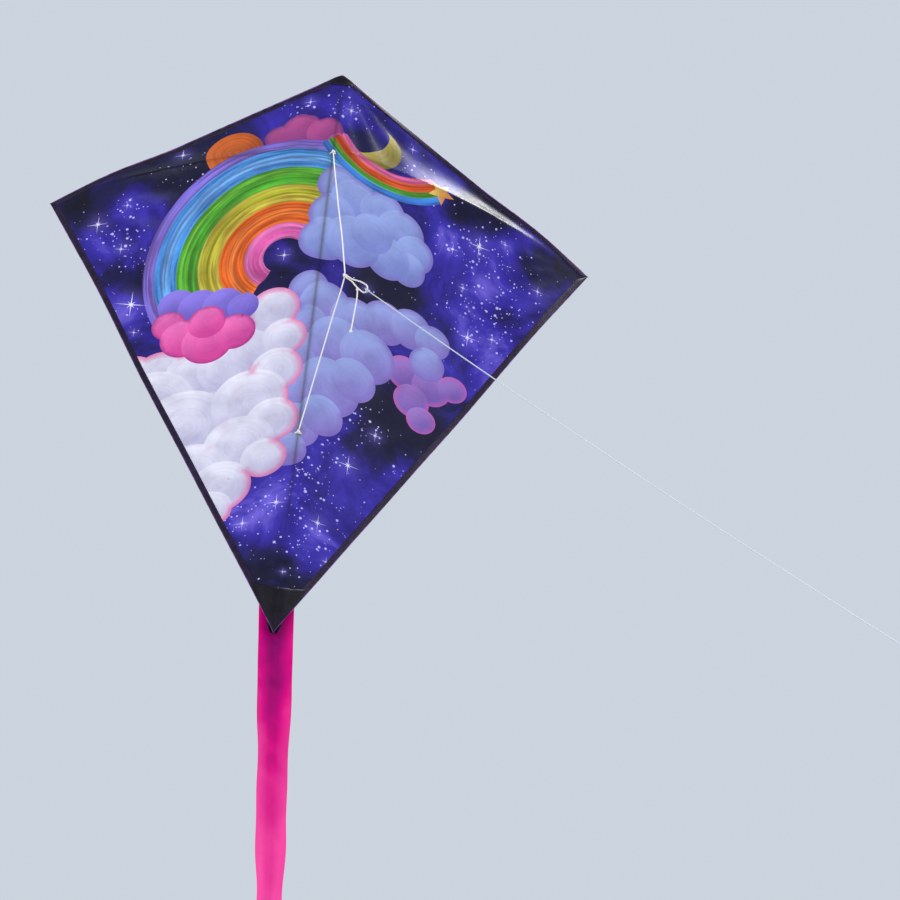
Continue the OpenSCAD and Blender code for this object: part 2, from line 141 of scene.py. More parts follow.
def sail_y(x, z):
    """How far behind the crossing of the rods the sail lies, at x and z."""
    side = np.abs(x)
    held = np.minimum(side, TIP_X)
    spar_y = bow_point(bow_angle_at(held))[1] - SPAR_TO_SAIL
    share = (side - STRIP_HALF) / (TIP_X - STRIP_HALF)
    plane = FOLD_Y + (TIP_Y - SPAR_TO_SAIL - FOLD_Y) * share
    line = spar_z(side)
    above = (z - line) / np.maximum(1, top_z(side) - line)
    below = (line - z) / np.maximum(1, line - low_z(side))
    off = np.clip(np.where(z > line, above, below), 0, 1)
    ridge = (plane - spar_y) * (1 - (1 - off) ** 1.5)
    across = np.clip(share, 0, 1)
    depth = np.where(z > line, UPPER_BELLY, LOWER_BELLY)
    belly = depth * np.sin(math.pi * off) * (4 * across * (1 - across)) ** 1.5
    wing = spar_y + smooth((TIP_X - side - TIP_POCKET_LEN) / CORNER_EASE) * (ridge + belly)
    middle = np.minimum(side, STRIP_HALF)
    strip = STRIP_RADIUS - STRIP_FRONT - np.sqrt(STRIP_RADIUS**2 - middle**2)
    return np.where(side < STRIP_HALF, strip, wing) + wrinkle(x, z)


def on_cloth(x, z, back=0.0):
    """Points on the sail in metres, moved back from it along its normal by so many millimetres."""
    x = np.asarray(x, float)
    z = np.asarray(z, float)
    y = sail_y(x, z)
    step = 1.0
    slope_x = (sail_y(x + step, z) - sail_y(x - step, z)) / (2 * step)
    slope_z = (sail_y(x, z + step) - sail_y(x, z - step)) / (2 * step)
    normal = np.stack([-slope_x, np.ones_like(y), -slope_z], -1)
    normal /= np.linalg.norm(normal, axis=-1, keepdims=True)
    return (np.stack([x, y, z], -1) + np.asarray(back)[..., None] * normal) * MM


# ---- Small tools ----


def linear(colour):
    """A hex sRGB colour as linear red, green and blue, with an alpha of 1."""
    parts = [int(colour[i : i + 2], 16) / 255 for i in (1, 3, 5)]
    return [c / 12.92 if c <= 0.04045 else ((c + 0.055) / 1.055) ** 2.4 for c in parts] + [1.0]


def add_node(tree, kind, inputs=None, **settings):
    """Adds a node with its settings, and gives each input a value or a link."""
    node = tree.nodes.new(kind)
    for name, value in settings.items():
        setattr(node, name, value)
    for name, value in (inputs or {}).items():
        if isinstance(value, bpy.types.NodeSocket):
            tree.links.new(value, node.inputs[name])
        else:
            node.inputs[name].default_value = value
    return node


def new_material(name):
    material = bpy.data.materials.new(name)
    material.use_nodes = True
    material.node_tree.nodes.clear()
    return material, material.node_tree


def finish_material(tree, shader):
    add_node(tree, "ShaderNodeOutputMaterial", {"Surface": shader})


def ramp(tree, value, *stops):
    """A colour ramp through (place, hex colour) stops."""
    node = add_node(tree, "ShaderNodeValToRGB", {"Fac": value})
    band = node.color_ramp
    while len(band.elements) < len(stops):
        band.elements.new(1.0)
    for element, (place, colour) in zip(band.elements, stops):
        element.position = place
        element.color = linear(colour)
    return node.outputs["Color"]


def blend_colour(tree, factor, first, second, way="MIX"):
    node = add_node(tree, "ShaderNodeMix", data_type="RGBA", blend_type=way)
    for index, value in ((0, factor), (6, first), (7, second)):
        if isinstance(value, bpy.types.NodeSocket):
            tree.links.new(value, node.inputs[index])
        else:
            node.inputs[index].default_value = value
    return node.outputs[2]


def reckon(tree, operation, *values):
    node = add_node(tree, "ShaderNodeMath", dict(enumerate(values)), operation=operation)
    return node.outputs[0]


def span(tree, value, low, high, to_low=0.0, to_high=1.0):
    """Maps a value's range low to high onto another range, and holds it there."""
    inputs = {"Value": value, "From Min": low, "From Max": high, "To Min": to_low, "To Max": to_high}
    return add_node(tree, "ShaderNodeMapRange", inputs, clamp=True).outputs[0]


def mesh_piece(name, points, faces, material):
    """A mesh object at the origin, from points in metres."""
    mesh = bpy.data.meshes.new(name)
    mesh.from_pydata([tuple(p) for p in points], [], [tuple(int(i) for i in f) for f in faces])
    mesh.update()
    mesh.validate()
    for polygon in mesh.polygons:
        polygon.use_smooth = True
    piece = bpy.data.objects.new(name, mesh)
    bpy.context.scene.collection.objects.link(piece)
    mesh.materials.append(material)
    return piece


def crisp_edges(piece):
    """Marks the open edges of a cloth, so that its cut edge doesn't shade its face."""
    used = {}
    for polygon in piece.data.polygons:
        for key in polygon.edge_keys:
            used[key] = used.get(key, 0) + 1
    for edge in piece.data.edges:
        edge.use_edge_sharp = used[edge.key] == 1


def on_wing(piece):
    """Bakes the piece's transform into its mesh."""
    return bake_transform(piece)


def shell(front, back):
    """Points and faces of a closed thin solid over a grid, from its rows of front and of back points."""
    rows, columns = front.shape[:2]
    points = np.concatenate([front.reshape(-1, 3), back.reshape(-1, 3)])
    count = rows * columns
    faces = []
    for i in range(rows - 1):
        for j in range(columns - 1):
            a = i * columns + j
            quad = (a, a + 1, a + columns + 1, a + columns)
            faces.append(quad)
            faces.append(tuple(count + k for k in reversed(quad)))
    rim = list(range(columns))
    rim += [i * columns + columns - 1 for i in range(1, rows)]
    rim += [count - 1 - j for j in range(1, columns)]
    rim += [i * columns for i in range(rows - 2, 0, -1)]
    for a, b in zip(rim, rim[1:] + rim[:1]):
        faces.append((b, a, count + a, count + b))
    return points, faces


def face_out(piece):
    """Turns every face outwards on a closed mesh."""
    work = bmesh.new()
    work.from_mesh(piece.data)
    bmesh.ops.remove_doubles(work, verts=work.verts, dist=1e-7)
    bmesh.ops.recalc_face_normals(work, faces=work.faces)
    work.to_mesh(piece.data)
    work.free()
    return piece


def name_map(piece, name, values):
    """A UV map with the given value for each vertex."""
    layer = piece.data.uv_layers.new(name=name)
    loops = np.zeros(len(piece.data.loops), np.int32)
    piece.data.loops.foreach_get("vertex_index", loops)
    layer.data.foreach_set("uv", np.asarray(values, np.float32)[loops].ravel())


def smooth_path(points, step, closed=False):
    """A smooth line through points, with a point about every step."""
    points = [np.array(p, float) for p in points]
    count = len(points)
    out = []
    for i in range(count if closed else count - 1):
        b, c = points[i], points[(i + 1) % count]
        a = points[i - 1] if closed or i > 0 else 2 * b - c
        d = points[(i + 2) % count] if closed or i + 2 < count else 2 * c - b
        pieces = max(1, int(round(np.linalg.norm(c - b) / step)))
        for k in range(pieces):
            t = k / pieces
            square = (2 * a - 5 * b + 4 * c - d) * t**2
            cube = (3 * b - a - 3 * c + d) * t**3
            out.append(0.5 * (2 * b + (c - a) * t + square + cube))
    if not closed:
        out.append(points[-1])
    return np.array(out)


def tube(name, path, radius, material, sides=10, closed=False):
    """A round cord along a path in metres, with its length and its turn round as a UV map."""
    path = np.asarray(path, float)
    count = len(path)
    ahead = np.roll(path, -1, axis=0)
    behind = np.roll(path, 1, axis=0)
    if not closed:
        ahead[-1] = path[-1]
        behind[0] = path[0]
    tangents = ahead - behind
    tangents /= np.linalg.norm(tangents, axis=1, keepdims=True)
    up = np.array([0.0, 0.0, 1.0]) if abs(tangents[0][2]) < 0.9 else np.array([1.0, 0.0, 0.0])
    rings = []
    along = [0.0]
    for i in range(count):
        up = up - tangents[i] * np.dot(up, tangents[i])
        up /= np.linalg.norm(up)
        across = np.cross(tangents[i], up)
        for k in range(sides):
            turn = 2 * math.pi * k / sides
            rings.append(path[i] + radius * (math.cos(turn) * up + math.sin(turn) * across))
        if i:
            along.append(along[-1] + float(np.linalg.norm(path[i] - path[i - 1])))
    faces = []
    for i in range(count if closed else count - 1):
        for k in range(sides):
            a = i * sides + k
            b = i * sides + (k + 1) % sides
            c = ((i + 1) % count) * sides + (k + 1) % sides
            d = ((i + 1) % count) * sides + k
            faces.append((a, b, c, d))
    if not closed:
        faces.append(tuple(reversed(range(sides))))
        faces.append(tuple((count - 1) * sides + k for k in range(sides)))
    piece = mesh_piece(name, rings, faces, material)
    name_map(piece, "cord", [(along[i], k / sides) for i in range(count) for k in range(sides)])
    return piece


def join(name, pieces):
    """Joins pieces into one object."""
    with bpy.context.temp_override(active_object=pieces[0], selected_editable_objects=pieces):
        bpy.ops.object.join()
    pieces[0].name = name
    return pieces[0]


# ---- The print: a rainbow over banks of cloud in a night sky, with a planet, a moon and a shooting star ----

ROSE = "#f46ab4"
LILAC = "#9a7fd2"
RAINBOW_AT = (-42, -148)
# Bands of the rainbow: inner and outer radius, and two shades
RAINBOW = (
    (150, 163, "#8f7ce2", "#a996ee"),
    (124, 150, "#55aef2", "#93d4ff"),
    (99, 124, "#56c537", "#86dc4c"),
    (75, 99, "#cfd438", "#eee25c"),
    (46, 75, "#ff7d26", "#ffa04a"),
    (24, 46, "#f36cc0", "#ff9bd8"),
)
RAINBOW_SPAN = (38, 236)
TRAIL_AT = (78, 68)
# Bands of the shooting star's trail, in the same way
TRAIL = (
    (76, 84, "#f45fa6", "#ff8cc0"),
    (84, 94, "#f0642c", "#ff8c3c"),
    (94, 101, "#4fa53a", "#6ccc3e"),
    (101, 110, "#4d9cf0", "#63b6f6"),
)
TRAIL_SPAN = (214, 304)
TRAIL_STAR = (136, -10, 17)
PLANET = (-116, 2, 34)
MOON = (52, 22, 31)
# Each cloud: its light and shaded colours, its tinted edge, and the place and radius of each of its puffs
CLOUDS = {
    "rose_cloud": ("#d766aa", "#a64c96", ("#7a3a86", 5),
                   ((-64, 20, 19), (-40, 30, 24), (-12, 24, 22), (8, 8, 17))),
    "upper_cloud": ("#b6c6f2", "#98a4e2", (LILAC, 8),
                    ((12, -48, 26), (34, -64, 30), (68, -66, 28), (92, -84, 30), (112, -104, 24),
                     (106, -126, 22), (80, -122, 28), (8, -90, 28), (2, -126, 30), (36, -118, 34),
                     (58, -98, 26))),
    "white_cloud": ("#f7f5fb", "#dad6ea", (ROSE, 9),
                    ((-112, -332, 30), (-196, -300, 30), (-166, -296, 32), (-128, -300, 34), (-92, -294, 34),
                     (-60, -268, 34), (-46, -222, 30), (-30, -262, 26), (-168, -336, 44), (-34, -306, 30),
                     (-130, -372, 50), (-60, -346, 44), (-32, -374, 30), (-66, -404, 40), (-36, -424, 26),
                     (-112, -438, 40), (-80, -458, 34), (-88, -488, 24))),
    # The lilac cloud right of the spine is print and also painted shade: it stands where the sail's right
    # half lies in shade
    "lilac_cloud_painted_shade": ("#b4c2f0", "#a08fd8", (LILAC, 8),
                    ((-8, -196, 24), (14, -216, 32), (-6, -246, 26), (52, -224, 32), (86, -208, 28),
                     (118, -202, 26), (146, -208, 22), (2, -290, 32), (142, -240, 22), (-4, -338, 30),
                     (-6, -384, 30), (-10, -416, 22), (34, -262, 36), (28, -322, 38), (70, -262, 34),
                     (24, -362, 26), (56, -300, 28))),
    "far_cloud": ("#b98fd8", "#8f6cc4", ("#e070c8", 6),
                  ((116, -262, 22), (150, -270, 24), (176, -262, 18), (128, -296, 22), (142, -318, 18))),
    "lavender_cloud": ("#ab97ee", "#8570d4", None,
                       ((-160, -200, 22), (-134, -206, 24), (-106, -208, 24), (-82, -212, 18))),
    "pink_cloud": ("#ff8ed2", "#ea55b2", ("#c23a98", 4),
                   ((-166, -228, 20), (-148, -248, 26), (-118, -256, 30), (-88, -246, 24), (-122, -228, 22))),
}
# Four-pointed stars: place and reach
STARS = (
    (-268, -82, 13), (-214, -196, 20), (-236, -118, 9), (-178, 12, 11), (190, -60, 15), (158, -76, 8),
    (188, -182, 13), (218, -176, 8), (268, -92, 8), (62, -412, 14), (35, -500, 11), (-15, -486, 12),
    (-50, -510, 10), (176, -120, 7), (2, -576, 5), (-34, 72, 8), (16, 62, 9), (222, -45, 7), (-236, -58, 7),
    (90, -360, 9), (50, -545, 7), (-206, -236, 7), (96, 42, 7), (60, -174, 7), (-42, -148, 9),
)
# Drifts of small stars and pale haze: place and size
DUST = (
    (-165, -22, 26), (-250, -100, 34), (-215, -125, 28), (-235, -62, 20), (200, -60, 40), (150, -70, 24),
    (230, -110, 44), (190, -150, 36), (200, -190, 34), (70, -350, 24), (40, -400, 32), (20, -450, 34),
    (-20, -480, 34), (45, -500, 30), (10, -550, 34), (-50, 60, 24), (10, 60, 30), (-215, -215, 26),
    (120, -400, 16), (90, -340, 14), (100, 10, 24), (-55, -500, 24),
)
# Dark rifts in the sky: place and size
RIFTS = (
    (60, -178, 30), (96, -160, 26), (-160, -30, 26), (-290, -60, 24), (-210, -160, 30), (255, -75, 26),
    (280, -50, 30), (100, -330, 40), (70, -380, 30), (150, -330, 30), (-30, -570, 40), (-140, 22, 40),
    (-210, -8, 44), (200, 0, 40), (160, -20, 22), (230, -140, 20), (20, -600, 30),
)
STAR_ARM = 0.09
SLOT_HALF_W = 4.5
SLOT_HALF_H = 1.3
TIE_DROPS = {"upper": 5.5, "lower": 394.0}


def circle_outline(x, z, radius, step=4.0):
    count = max(16, int(2 * math.pi * radius / step))
    turns = [2 * math.pi * k / count for k in range(count)]
    return [(x + radius * math.cos(t), z + radius * math.sin(t)) for t in turns]


def star_outline(x, z, reach, points=4, waist=STAR_ARM):
    """Long points with a narrow waist between them. A four-pointed star has four short points as well."""
    radii = (1.0, waist, 0.34, waist) if points == 4 else (1.0, waist)
    count = len(radii) * points
    start = 0 if points == 4 else math.radians(60)
    return [(x + reach * radii[k % len(radii)] * math.cos(start + 2 * math.pi * k / count),
             z + reach * radii[k % len(radii)] * math.sin(start + 2 * math.pi * k / count))
            for k in range(count)]


def band_outline(centre, inner, outer, span_deg):
    """Part of a ring between two angles, with a rounded end."""
    turns = np.radians(np.linspace(span_deg[0], span_deg[1], 60))
    tail = math.radians(3.0)
    middle = (inner + outer) / 2
    rim = [(outer, t) for t in turns] + [(middle, turns[-1] + tail)]
    rim += [(inner, t) for t in turns[::-1]] + [(middle, turns[0] - tail)]
    return [(centre[0] + r * math.cos(t), centre[1] + r * math.sin(t)) for r, t in rim]


def crescent_outline(x, z, radius):
    """A moon with its horns to the upper left."""
    outer = np.radians(np.linspace(-160, 70, 40))
    rim = [(x + radius * math.cos(t), z + radius * math.sin(t)) for t in outer]
    start, end = np.array(rim[-1]), np.array(rim[0])
    middle = (start + end) / 2
    half = np.linalg.norm(end - start) / 2
    along = (end - start) / (2 * half)
    bulge = np.array([along[1], -along[0]])
    bulge *= np.sign(np.dot(bulge, np.array([x, z]) - middle)) or 1.0
    inner = [middle + half * (math.cos(t) * -along + 0.62 * math.sin(t) * bulge)
             for t in np.linspace(0, math.pi, 30)[1:-1]]
    return rim + [tuple(p) for p in inner]


def drift_of(x, z, places):
    """How strongly a point lies in any of the places, from 0 to 1."""
    total = np.zeros_like(x)
    for px, pz, size in places:
        total += np.exp(-((x - px) ** 2 + (z - pz) ** 2) / size**2)
    return np.clip(total, 0, 1)


def hem_outline(inset):
    """The sail's outline in front view, drawn in from its edge."""
    top_in = inset * math.hypot(1, TOP_SLOPE)
    low_in = inset * math.hypot(1, LOW_SLOPE)
    side = (NOSE_Z - top_in - TAIL_Z - low_in) / (LOW_SLOPE - TOP_SLOPE)
    nose, tail = (0, NOSE_Z - top_in), (0, TAIL_Z + low_in)
    right = (side, NOSE_Z - top_in + TOP_SLOPE * side)
    corners = [nose, right, tail, (-right[0], right[1])]
    return [np.array(c) + (np.array(d) - c) * k / 40 for c, d in zip(corners, corners[1:] + corners[:1])
            for k in range(40)]


def print_areas():
    """Every area of the print from the back to the front, with its outline."""
    areas = [{"kind": "sky", "outline": hem_outline(1.0)}]

    def add_cloud(name):
        light, shade, edge, puffs = CLOUDS[name]
        for puff in puffs:
            areas.append({"kind": "cloud", "colours": (light, shade), "centre": puff[:2], "radius": puff[2],
                          "edge": edge, "puffs": puffs, "outline": circle_outline(*puff)})

    def add(kind, outline, light, shade, centre, radius=1.0, brushed=1.0, seam=-90.0):
        areas.append({"kind": kind, "colours": (light, shade), "centre": centre, "radius": radius,
                      "brushed": brushed, "seam": seam, "outline": outline})

    add("ball", circle_outline(*PLANET), "#f08334", "#b9552a", PLANET[:2], PLANET[2], 0.5)
    add_cloud("rose_cloud")
    for inner, outer, light, shade in RAINBOW:
        add("band", band_outline(RAINBOW_AT, inner, outer, RAINBOW_SPAN), light, shade, RAINBOW_AT)
    add_cloud("far_cloud")
    add_cloud("lilac_cloud_painted_shade")
    add_cloud("white_cloud")
    add_cloud("upper_cloud")
    add_cloud("lavender_cloud")
    add_cloud("pink_cloud")
    add("ball", crescent_outline(*MOON), "#e9d878", "#94882c", MOON[:2], MOON[2], 0.4)
    for inner, outer, light, shade in TRAIL:
        add("band", band_outline(TRAIL_AT, inner, outer, TRAIL_SPAN), light, shade, TRAIL_AT, seam=90.0)
    add("ball", star_outline(*TRAIL_STAR, points=5, waist=0.45), "#ffe27a", "#ff9a4a", TRAIL_STAR[:2],
        TRAIL_STAR[2], 0.2)
    for x, z, reach in STARS:
        add("ball", star_outline(x, z, reach), "#ffffff", "#e9e2ff", (x, z), reach, 0.0)
    for drop in TIE_DROPS.values():
        corners = ((-1, -1), (1, -1), (1, 1), (-1, 1))
        outline = [(sx * SLOT_HALF_W, sz * SLOT_HALF_H - drop) for sx, sz in corners]
        areas.append({"kind": "slot", "outline": outline})
    return areas


def rod_shadow_line(x, z):
    """Painted shadow of the rods seen through the cloth from behind: a line down the spine and one along each
    spreader.
    """
    down_spine = np.exp(-((x / 2.2) ** 2)) * smooth((z - TAIL_Z - 90) / 120) * smooth((NOSE_Z - 20 - z) / 20)
    along_spreader = np.exp(-(((z - spar_z(x)) / 2.2) ** 2)) * smooth((np.abs(x) - 14) / 8)
    return np.maximum(down_spine, 0.7 * along_spreader * smooth((TIP_X - 40 - np.abs(x)) / 10))


def cut_print():
    """The sail as flat triangles, cut along every outline of the print: points, triangles and areas."""
    areas = print_areas()
    points, faces, edges = [], [], []
    for area in areas:
        # Every outline runs anticlockwise, so that its own area lies inside it
        outline = np.array([(float(p[0]), float(p[1])) for p in area["outline"]])
        ahead = np.roll(outline, -1, axis=0)
        if np.sum(outline[:, 0] * ahead[:, 1] - ahead[:, 0] * outline[:, 1]) < 0:
            outline = outline[::-1]
        start = len(points)
        points += [Vector(p) for p in outline.tolist()]
        faces.append(list(range(start, len(points))))
    spine = smooth_path([(0, NOSE_Z), (0, TAIL_Z)], 6.0)
    spreader = np.array([(x, spar_z(abs(x))) for x in np.arange(-TIP_X + 4, TIP_X - 3, 6.0)])
    beside = [spine[12:-12] + (off, 0) for off in (-3.0, 3.0)]
    beside += [spreader[8:-8] + (0, off) for off in (-3.0, 3.0)]
    for line in [spine, spreader] + beside:
        start = len(points)
        points += [Vector((float(p[0]), float(p[1]))) for p in line]
        edges += [(i, i + 1) for i in range(start, len(points) - 1)]
    grid = 6.5
    for row, z in enumerate(np.arange(TAIL_Z + grid, NOSE_Z, grid * 0.87)):
        for x in np.arange(-TIP_X + (row % 2) * grid / 2, TIP_X, grid):
            if low_z(x) + 4 < z < top_z(x) - 4:
                points.append(Vector((float(x), float(z))))
    cut = delaunay_2d_cdt(points, edges, faces, 0, 1e-3)
    keep, area_of = [], []
    holes = {i for i, area in enumerate(areas) if area["kind"] == "slot"}
    for triangle, inside in zip(cut[2], cut[5]):
        if 0 in inside and not holes & set(inside):
            keep.append(triangle)
            area_of.append(max(inside))
    flat = np.array([(p.x, p.y) for p in cut[0]])
    return flat, np.array(keep), np.array(area_of), areas


PATCH_DARK = 0.3


def paint_corners(x, z, area):
    """The linear colour of points of one area of the print."""
    light, shade = (np.array(linear(c)[:3]) for c in area["colours"])
    cx, cz = area["centre"]
    ring = np.hypot(x - cx, z - cz)
    if area["kind"] == "band":
        share = 0.5 + 0.5 * np.sin(ring / 3.0)
    elif area["kind"] == "cloud":
        share = smooth(0.55 - 0.5 * (0.9 * (z - cz) - 0.4 * (x - cx)) / area["radius"])
    else:
        share = smooth(0.4 - 0.55 * (0.6 * (z - cz) - 0.8 * (x - cx)) / area["radius"])
    colour = light + (shade - light) * share[:, None]
    if area.get("edge"):
        tint, width = area["edge"]
        depth = np.max([r - np.hypot(x - px, z - pz) for px, pz, r in area["puffs"]], axis=0)
        near = 0.75 * (1 - smooth(depth / width))[:, None]
        colour = colour * (1 - near) + np.array(linear(tint)[:3]) * near
    return colour


def build_sail_half(side, cut, cloth):
    """One half of the printed sail, from the spine to its side corner."""
    flat, triangles, area_of, areas = cut
    middle = flat[triangles].mean(axis=1)
    mine = (middle[:, 0] * SIDES[side]) > 0
    triangles, area_of = triangles[mine], area_of[mine]
    used, faces = np.unique(triangles, return_inverse=True)
    faces = faces.reshape(-1, 3)
    x, z = flat[used].T
    a, b, c = (np.stack([x, z], 1)[faces[:, k]] for k in range(3))
    turn = (b - a)[:, 0] * (c - a)[:, 1] - (b - a)[:, 1] * (c - a)[:, 0]
    faces[turn < 0] = faces[turn < 0][:, ::-1]
    piece = mesh_piece("sail_cloth_" + side, on_cloth(x, z), faces, cloth)
    mesh = piece.data
    name_map(piece, "cloth", np.stack([x, z], 1) * MM)
    loops = faces.ravel()
    lx, lz = x[loops], z[loops]
    loop_area = np.repeat(area_of, 3)
    colours = np.ones((len(loops), 4), np.float32)
    strokes = np.zeros((len(loops), 2), np.float32)
    brushed = np.zeros(len(loops), np.float32)
    for index in np.unique(area_of):
        area = areas[index]
        at = loop_area == index
        if area["kind"] == "sky":
            continue
        colours[at, :3] = paint_corners(lx[at], lz[at], area)
        brushed[at] = area.get("brushed", 0.12)
        dx, dz = lx[at] - area["centre"][0], lz[at] - area["centre"][1]
        ring = np.hypot(dx, dz)
        # The strokes' own start lies where the area has none
        seam = math.radians(area.get("seam", -90.0))
        turned = np.mod(np.arctan2(dz, dx) - seam, 2 * math.pi)
        strokes[at] = np.stack([ring, turned * ring.mean()], 1) * MM
    paint = mesh.attributes.new("paint", "FLOAT_COLOR", "CORNER")
    paint.data.foreach_set("color", colours.ravel())
    stroke_map = mesh.uv_layers.new(name="stroke")
    stroke_map.data.foreach_set("uv", strokes.ravel())
    for name, kind, values in (
        ("brushed", "CORNER", brushed),
        ("sky", "FACE", (area_of == 0).astype(np.float32)),
        ("dust", "POINT", drift_of(x, z, DUST)),
        ("rift", "POINT", drift_of(x, z, RIFTS)),
        ("glow", "POINT", drift_of(x, z, STARS)),
        # The "rubbed" value is the painted shadow of the rods behind the cloth
        ("rubbed", "POINT", rod_shadow_line(x, z)),
        ("backing", "POINT", smooth((np.abs(x) - (TIP_X - 48)) / 3) * smooth((z - spar_z(x) + 26) / 2)),
    ):
        field = mesh.attributes.new(name, "FLOAT", kind)
        field.data.foreach_set("value", np.asarray(values, np.float32))
    thick = piece.modifiers.new("Cloth thickness", "SOLIDIFY")
    thick.thickness = 0.25 * MM
    thick.offset = 0
    return piece


# ---- Materials ----

# How many bands a wave texture has in one unit at a scale of 1
BANDS_PER_SCALE = 3.1831


def thread_bump(tree, coordinates, spacing, strength, height=0.00008):
    """A plain weave's crossing threads as a bump, from the spacing of the threads in metres."""
    waves = []
    for direction in ("X", "Y"):
        wave = add_node(tree, "ShaderNodeTexWave",
                        {"Vector": coordinates, "Scale": 1 / spacing / BANDS_PER_SCALE},
                        wave_type="BANDS", bands_direction=direction)
        waves.append(wave.outputs["Fac"])
    woven = reckon(tree, "MULTIPLY", *waves)
    return add_node(tree, "ShaderNodeBump", {"Height": woven, "Strength": strength, "Distance": height})


def printed_sailcloth():
    """Printed polyester taffeta: thin, faintly crinkled cloth with a satin gloss that lets light through."""
    material, tree = new_material("printed polyester taffeta")
    cloth = add_node(tree, "ShaderNodeUVMap", uv_map="cloth").outputs[0]
    stroke = add_node(tree, "ShaderNodeUVMap", uv_map="stroke").outputs[0]
    values = {name: add_node(tree, "ShaderNodeAttribute", attribute_name=name) for name in
              ("paint", "sky", "dust", "rift", "glow", "backing", "brushed", "rubbed")}

    # Sky: violet clouds over deep navy, with dark rifts and pale haze
    clouds = add_node(tree, "ShaderNodeTexNoise",
                      {"Vector": cloth, "Scale": 11.0, "Detail": 5.0, "Roughness": 0.62,
                       "Distortion": 0.6}).outputs["Fac"]
    rift = reckon(tree, "MULTIPLY", values["rift"].outputs["Fac"], 0.26)
    haze = reckon(tree, "MULTIPLY", values["dust"].outputs["Fac"], 0.13)
    level = reckon(tree, "ADD", reckon(tree, "SUBTRACT", clouds, rift), haze)
    sky = ramp(tree, level, (0.28, "#15123a"), (0.42, "#241f5c"), (0.52, "#37299a"), (0.64, "#4a3bc0"),
               (0.78, "#8c78e6"))
    # Small printed stars, about 1 to 3 mm across and 5 mm apart
    dots = []
    for spacing, size in ((0.0085, 0.17), (0.0052, 0.15)):
        cells = add_node(tree, "ShaderNodeTexVoronoi", {"Vector": cloth, "Scale": 1 / spacing}, feature="F1")
        luck = add_node(tree, "ShaderNodeSeparateColor", {"Color": cells.outputs["Color"]}).outputs[0]
        chance = reckon(tree, "ADD", reckon(tree, "MULTIPLY", values["dust"].outputs["Fac"], 0.85), 0.13)
        lit = reckon(tree, "LESS_THAN", luck, chance)
        size_here = reckon(tree, "MULTIPLY", luck, size)
        reach = reckon(tree, "ADD", size_here, size * 0.7)
        disc = span(tree, reckon(tree, "DIVIDE", cells.outputs["Distance"], reach), 0.65, 1.0, 1.0, 0.0)
        dots.append(reckon(tree, "MULTIPLY", disc, lit))
    stars = reckon(tree, "MAXIMUM", dots[0], dots[1])
    glow = reckon(tree, "MULTIPLY", values["glow"].outputs["Fac"], 0.35)
    sky = blend_colour(tree, glow, sky, linear("#8f7cf0"))
    sky = blend_colour(tree, stars, sky, linear("#d9d2ff"))

    # Paint: streaks a millimetre or two wide that follow each area's own curve
    stretched = add_node(tree, "ShaderNodeMapping",
                         {"Vector": stroke, "Scale": (300.0, 12.0, 1.0)}).outputs[0]
    streaks = add_node(tree, "ShaderNodeTexNoise", {"Vector": stretched, "Scale": 1.0, "Detail": 2.0,
                                                    "Roughness": 0.5}).outputs["Fac"]
    darker = blend_colour(tree, 1.0, values["paint"].outputs["Color"], linear("#cfb8c4"), "MULTIPLY")
    dark_share = reckon(tree, "MULTIPLY", span(tree, streaks, 0.62, 0.4), values["brushed"].outputs["Fac"])
    paint = blend_colour(tree, dark_share, values["paint"].outputs["Color"], darker)
    colour = blend_colour(tree, values["sky"].outputs["Fac"], paint, sky)
    # Black reinforcing cloth shows through at the side corners
    behind = reckon(tree, "MULTIPLY", values["backing"].outputs["Fac"], 1 - PATCH_DARK)
    colour = blend_colour(tree, behind, colour, linear("#120f1c"))
    # Painted shadow: the rods behind the cloth darken a faint brown line down the spine and along the
    # spreaders
    rod_shaded = blend_colour(tree, 1.0, colour, linear("#a09488"), "MULTIPLY")
    colour = blend_colour(tree, reckon(tree, "MULTIPLY", values["rubbed"].outputs["Fac"], 0.6), colour, rod_shaded)
    # Fold lines and handling leave a faint uneven tone
    tone = add_node(tree, "ShaderNodeTexNoise",
                    {"Vector": cloth, "Scale": 34.0, "Detail": 3.0}).outputs["Fac"]
    shade = ramp(tree, tone, (0.3, "#dcdae4"), (0.62, "#ffffff"))
    colour = blend_colour(tree, 0.6, colour, shade, "MULTIPLY")

    crinkle = add_node(tree, "ShaderNodeTexNoise", {"Vector": cloth, "Scale": 60.0, "Detail": 4.0,
                                                    "Distortion": 0.8}).outputs["Fac"]
    creased = add_node(tree, "ShaderNodeBump", {"Height": crinkle, "Strength": 0.25, "Distance": 0.0012})
    # Taffeta's threads are about 0.15 mm apart: drawn at 0.7 mm so that they show
    weave = thread_bump(tree, cloth, 0.0007, 0.12)
    tree.links.new(creased.outputs[0], weave.inputs["Normal"])
    gloss = span(tree, tone, 0.3, 0.7, 0.27, 0.4)
    face = add_node(tree, "ShaderNodeBsdfPrincipled",
                    {"Base Color": colour, "Roughness": gloss, "Normal": weave.outputs[0],
                     "Sheen Weight": 0.03, "Specular IOR Level": 0.28})
    through = add_node(tree, "ShaderNodeBsdfTranslucent", {"Color": colour, "Normal": weave.outputs[0]})
    mixed = add_node(tree, "ShaderNodeMixShader", {0: 0.4, 1: face.outputs[0], 2: through.outputs[0]})
    finish_material(tree, mixed.outputs[0])
    return material


